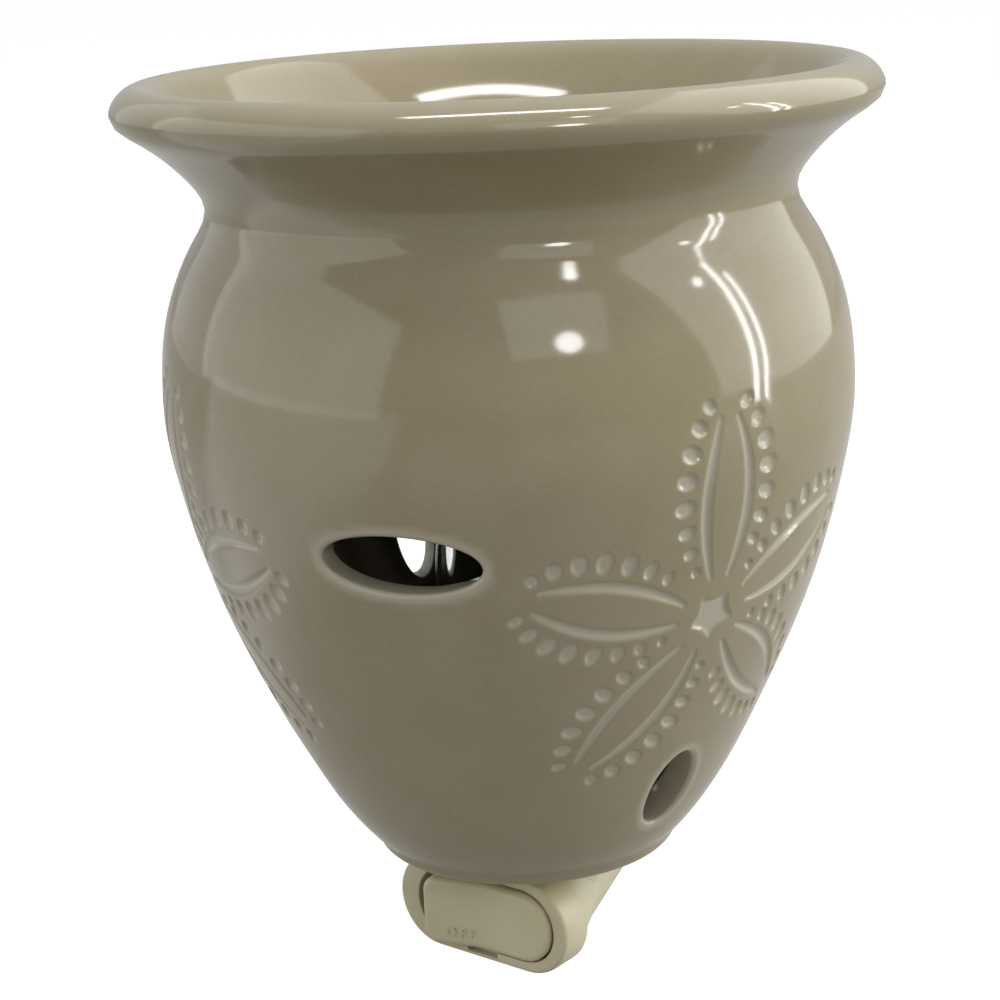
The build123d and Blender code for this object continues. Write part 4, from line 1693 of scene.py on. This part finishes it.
HOUSING_SCREWS = Screws(
    "housing_screws_cross",
    "housing_screws",
    head=(2.0, 1.4),
    shank=(1.0, 11.6),
    cross=(1.15, 0.27, 0.8),
    places=(((0, -33, -7.4), (0, 0, -1)), ((0, -20, -7.4), (0, 0, -1))),
)
CLIP_SCREWS = Screws(
    "clip_screws_cross",
    "clip_screws",
    head=(1.4, 0.9),
    shank=(0.8, 1.9),
    cross=(0.8, 0.2, 0.5),
    places=(((10.4, LAMP_AXIS_Y, 11.9), (1, 0, 0)), ((-10.4, LAMP_AXIS_Y, 11.9), (-1, 0, 0))),
)


@dataclass(frozen=True)
class Bulb:
    """The night-light bulb's screw cap, envelope and coiled filament, in the lamp axis's frame."""

    cap_levels: Point = (13.0, 25.7)
    cap_radius: float = 5.9
    cap_thickness: float = 0.35
    cap_steps: int = 40
    cap_fade: float = 8.0
    pitch: float = 2.54
    thread_depth: float = 0.42
    glass_levels: Point = (22.7, 64.5)
    neck: float = 5.5
    glass_radius: float = 11.0
    glass_thickness: float = 0.8
    glass_steps: int = 22
    widest_share: float = 0.52
    neck_shares: tuple[Point, ...] = ((0.20, 0.30),)
    tip_shares: tuple[Point, ...] = ((0.62, 0.20), (0.93, 0.64))
    sides: int = 64
    coil_half: float = 4.0
    coil_level: float = 45.45
    coil_rise: float = 2.5
    coil_radius: float = 0.25
    coil_turns: int = 34
    coil_sides: int = 12
    wire: float = 0.05
    sharp: float = 60.0

    def _cap(self) -> None:
        """Roll the cap with its right-hand thread."""
        low, high = self.cap_levels
        rings = []
        for inner in (False, True):
            for k in range(self.cap_steps + 1):
                share = 1 - k / self.cap_steps if inner else k / self.cap_steps
                level = low + (high - low) * share
                depth = self.thread_depth * min(1.0, self.cap_fade * share, self.cap_fade * (1 - share))
                base = self.cap_radius - (self.cap_thickness if inner else 0.0)
                ring = []
                for angle in (math.tau * j / self.sides for j in range(self.sides)):
                    wave = 0.5 - 0.5 * math.cos(math.tau * (level - low) / self.pitch - angle)
                    radius = base - depth * wave
                    ring.append((radius * math.cos(angle), radius * math.sin(angle), level))
                rings.append(ring)
        piece = Bench.sleeve("bulb_cap_threaded", rings, closed=True)
        hand_over(piece, "lamp_cap", Finish.BRASS, "bulb_cap", AT_LAMP, self.sharp)

    def _envelope(self) -> None:
        """Blow the envelope: outer skin up to the tip and inner skin back."""
        low, high = self.glass_levels
        cap_top = self.cap_levels[1]
        skins = []
        for inset in (0.0, self.glass_thickness):
            start = (self.neck - inset, cap_top)
            wide = (self.glass_radius - inset, cap_top + (high - cap_top) * self.widest_share)
            top = (0.0, high - inset)
            rise, tips = between(start, wide, self.neck_shares), between(wide, top, self.tip_shares)
            line = [(start[0], low)] + smooth_curve([start, *rise, wide], (0, 1), (0, 1), self.glass_steps)
            line += smooth_curve([wide, *tips, top], (0, 1), (-1, 0), self.glass_steps)[1:]
            skins.append(line)
        piece = Bench.turned("bulb_envelope", skins[0] + skins[1][::-1], self.sides)
        hand_over(piece, "lamp_glass", Finish.CLEAR, "bulb_glass", AT_LAMP, self.sharp)

    def _filament(self) -> None:
        """Coil the filament along its shallow arch."""
        Bench.clear()
        bpy.ops.curve.primitive_nurbs_path_add()
        curve = bpy.context.object.data
        curve.splines.clear()
        last = self.coil_turns * self.coil_sides
        spline = curve.splines.new("POLY")
        spline.points.add(last)
        offset = self.coil_radius - self.wire
        for k, point in enumerate(spline.points):
            x = self.coil_half * (2 * k / last - 1)
            level = self.coil_level + self.coil_rise * (1 - (x / self.coil_half) ** 2)
            angle = math.tau * self.coil_turns * k / last
            place = Vector((x, offset * math.cos(angle), level + offset * math.sin(angle))) * MM
            point.co = (*place, 1.0)
        curve.bevel_depth = self.wire * MM
        curve.bevel_resolution = 1
        curve.use_fill_caps = True
        bpy.ops.object.convert(target="MESH")
        piece = Bench.named("filament_coil")
        hand_over(piece, "lamp_glass", Finish.TUNGSTEN, "bulb_filament", AT_LAMP, self.sharp)

    def build(self) -> None:
        """Model the bulb's pieces that the CAD keeps plain."""
        self._cap()
        self._envelope()
        self._filament()


class Carried:
    """The CAD nodes whose shape stays, each in the finish of its slot."""

    def build(self) -> None:
        """Dress every CAD node that is still shown."""
        for name, node in frame["nodes"].items():
            if not node.hide_render:
                node.data.materials.clear()
                node.data.materials.append(Finish(CARRIED_SLOTS[name]).material())
                log.info("%s: carried over in %s", name, CARRIED_SLOTS[name])


@dataclass(frozen=True)
class PhotoCamera:
    """The camera that took the photograph."""

    place: Spot = (92.7, -337.3, 136.2)
    turn: float = 18.0
    pan: float = -0.35
    pitch: float = 14.94
    roll: float = -2.52
    lens: float = 83.23
    sensor: float = 36.0
    clip: Point = (0.01, 20.0)

    def build(self) -> None:
        """Add the camera and make it the scene's."""
        Bench.clear()
        bpy.ops.object.camera_add(location=Vector(self.place) * MM)
        camera = bpy.context.object
        camera.name = "photo_camera"
        pan, pitch, roll = (math.radians(v) for v in (self.pan, self.pitch, self.roll))
        level = math.cos(pitch)
        forward = Vector((math.sin(pan) * level, math.cos(pan) * level, -math.sin(pitch)))
        right = Vector((math.cos(pan), -math.sin(pan), 0))
        up = right.cross(forward)
        rolled = math.cos(roll) * right + math.sin(roll) * up
        upright = math.cos(roll) * up - math.sin(roll) * right
        axes = Matrix((rolled, upright, -forward)).transposed()
        camera.rotation_euler = (Matrix.Rotation(math.radians(self.turn), 3, "Z") @ axes).to_euler()
        camera.data.lens, camera.data.sensor_width = self.lens, self.sensor
        camera.data.clip_start, camera.data.clip_end = self.clip
        bpy.context.scene.camera = camera


class Opening(Enum):
    """Shape of a soft lamp's opening."""

    SQUARE = "RECTANGLE"
    ROUND = "DISK"


@dataclass(frozen=True)
class Lamp:
    """One soft lamp: its place and size, its power in watts, and its aim at the shade's middle."""

    name: str
    place: Spot
    size: Point
    power: float
    colour: Spot = (1.0, 1.0, 1.0)
    opening: Opening = Opening.SQUARE
    aim: Spot = (0, LAMP_AXIS_Y, 60)

    def build(self) -> None:
        """Add the lamp."""
        Bench.clear()
        bpy.ops.object.light_add(type="AREA", location=Vector(self.place) * MM)
        lamp = bpy.context.object
        lamp.name = self.name
        lamp.data.shape = self.opening.value
        lamp.data.size, lamp.data.size_y = (side * MM for side in self.size)
        lamp.data.energy = self.power
        lamp.data.color = self.colour
        away = Vector(self.place) - Vector(self.aim)
        lamp.rotation_euler = away.to_track_quat("Z", "Y").to_euler()


@dataclass(frozen=True)
class Studio:
    """Plain pale floor, white surround for the camera and soft lamps.

    Gloss sees only a share of the white, so that the glaze keeps its depth. On the floor that share rises
    to the whole at the front left, beyond a slanting line.
    """

    floor_level: float = -13.2
    floor_size: float = 6000.0
    floor_colour: Colour = (0.33, 0.32, 0.29, 1.0)
    floor_glow: float = 0.93
    floor_shadow: Colour = (0.3, 0.3, 0.3, 1.0)
    board_left: Point = (0.06, 0.16)
    board_front: Point = (0.0, 0.06)
    board_line: Point = (0.0, 0.03)
    board_slant: float = 0.28
    ambient: float = 0.21
    mirrored: float = 0.35
    lamps: tuple[Lamp, ...] = (
        Lamp("wall_left", (-1040, -650, 300), (1900, 1300), 8.2, (0.99, 1.0, 0.98)),
        Lamp("wall_behind", (-1137, 407, 300), (780, 1300), 1.1),
        Lamp("key_right", (700, 330, 520), (1300, 1300), 8.5),
        Lamp("strip_right_near", (600, 60, 225), (22, 520), 0.65),
        Lamp("strip_right_far", (590, 110, 190), (14, 430), 0.4),
        Lamp("spot_right", (669, -17, 495), (50, 50), 0.1, opening=Opening.ROUND),
        Lamp("spot_high", (399, -424, 734), (60, 60), 0.22, opening=Opening.ROUND),
        Lamp("spot_low", (350, -499, 325), (90, 90), 0.34, opening=Opening.ROUND),
        Lamp("box_front", (365, -573, 457), (400, 320), 0.45),
        Lamp("strip_top", (60, -200, 700), (420, 60), 1.6),
    )

    @staticmethod
    def _chosen(recipe: Recipe, share: Any, plain: bpy.types.Node, white: bpy.types.Node) -> bpy.types.Node:
        """Mix white for the camera with what lights the object.

        Args:
            recipe: The tree to work in.
            share: How far gloss sees the white; the camera and glass see it fully.
            plain: Shader that lights the object.
            white: Shader of the white background.

        Returns:
            The mixed shader.
        """
        path = recipe.node("ShaderNodeLightPath")
        mirror = Wire(recipe, path.outputs["Is Glossy Ray"]) * share
        through = mirror.maths("MAXIMUM", mirror, path.outputs["Is Transmission Ray"])
        seen = mirror.maths("MAXIMUM", through, path.outputs["Is Camera Ray"])
        return recipe.node("ShaderNodeMixShader", {}, {0: seen, 1: plain.outputs[0], 2: white.outputs[0]})

    def _floor(self) -> None:
        """Lay the floor, which keeps the object's shadow."""
        Bench.clear()
        bpy.ops.mesh.primitive_plane_add(size=self.floor_size * MM, location=(0, 0, self.floor_level * MM))
        floor = Bench.named("studio_floor")
        recipe = Recipe("floor_pale")
        axes = recipe.node("ShaderNodeSeparateXYZ", {}, {0: recipe.place})
        x, y = (Wire(recipe, axes.outputs[k]) for k in (0, 1))
        board = (x * -1.0).band(*self.board_left) * (y * self.board_slant - x).band(*self.board_line)
        board = board * (y * -1.0).band(*self.board_front)
        plain = recipe.node("ShaderNodeBsdfDiffuse", {}, {"Color": self.floor_colour})
        glow = recipe.node("ShaderNodeEmission", {}, {"Color": (1, 1, 1, 1), "Strength": self.floor_glow})
        shadow = recipe.node("ShaderNodeBsdfDiffuse", {}, {"Color": self.floor_shadow})
        white = recipe.node("ShaderNodeAddShader", {}, {0: glow.outputs[0], 1: shadow.outputs[0]})
        share = board * (1 - self.mirrored) + self.mirrored
        recipe.close("ShaderNodeOutputMaterial", self._chosen(recipe, share, plain, white))
        floor.data.materials.append(recipe.material)

    def _surround(self) -> None:
        """White to the camera, an even soft light to the object."""
        world = bpy.data.worlds.new("surround")
        bpy.context.scene.world = world
        world.use_nodes = True
        recipe = Recipe.over(world.node_tree)
        light, white = (
            recipe.node("ShaderNodeBackground", {}, {"Color": (1, 1, 1, 1), "Strength": strength})
            for strength in (self.ambient, 1.0)
        )
        recipe.close("ShaderNodeOutputWorld", self._chosen(recipe, self.mirrored, light, white))

    def build(self) -> None:
        """Set up the floor, the surround and the lamps."""
        self._floor()
        self._surround()
        for lamp in self.lamps:
            lamp.build()
        bpy.context.scene.view_settings.view_transform = "Standard"


def main() -> None:
    """Build the pieces in order, then the studio."""
    logging.basicConfig(level=logging.INFO, format="%(name)s: %(message)s")
    PhotoCamera().build()
    for maker in (CeramicShade(), SwitchCase(), Rocker(), HOUSING_SCREWS, CLIP_SCREWS, Bulb(), Carried()):
        maker.build()
    Studio().build()


if __name__ == "__main__":
    main()
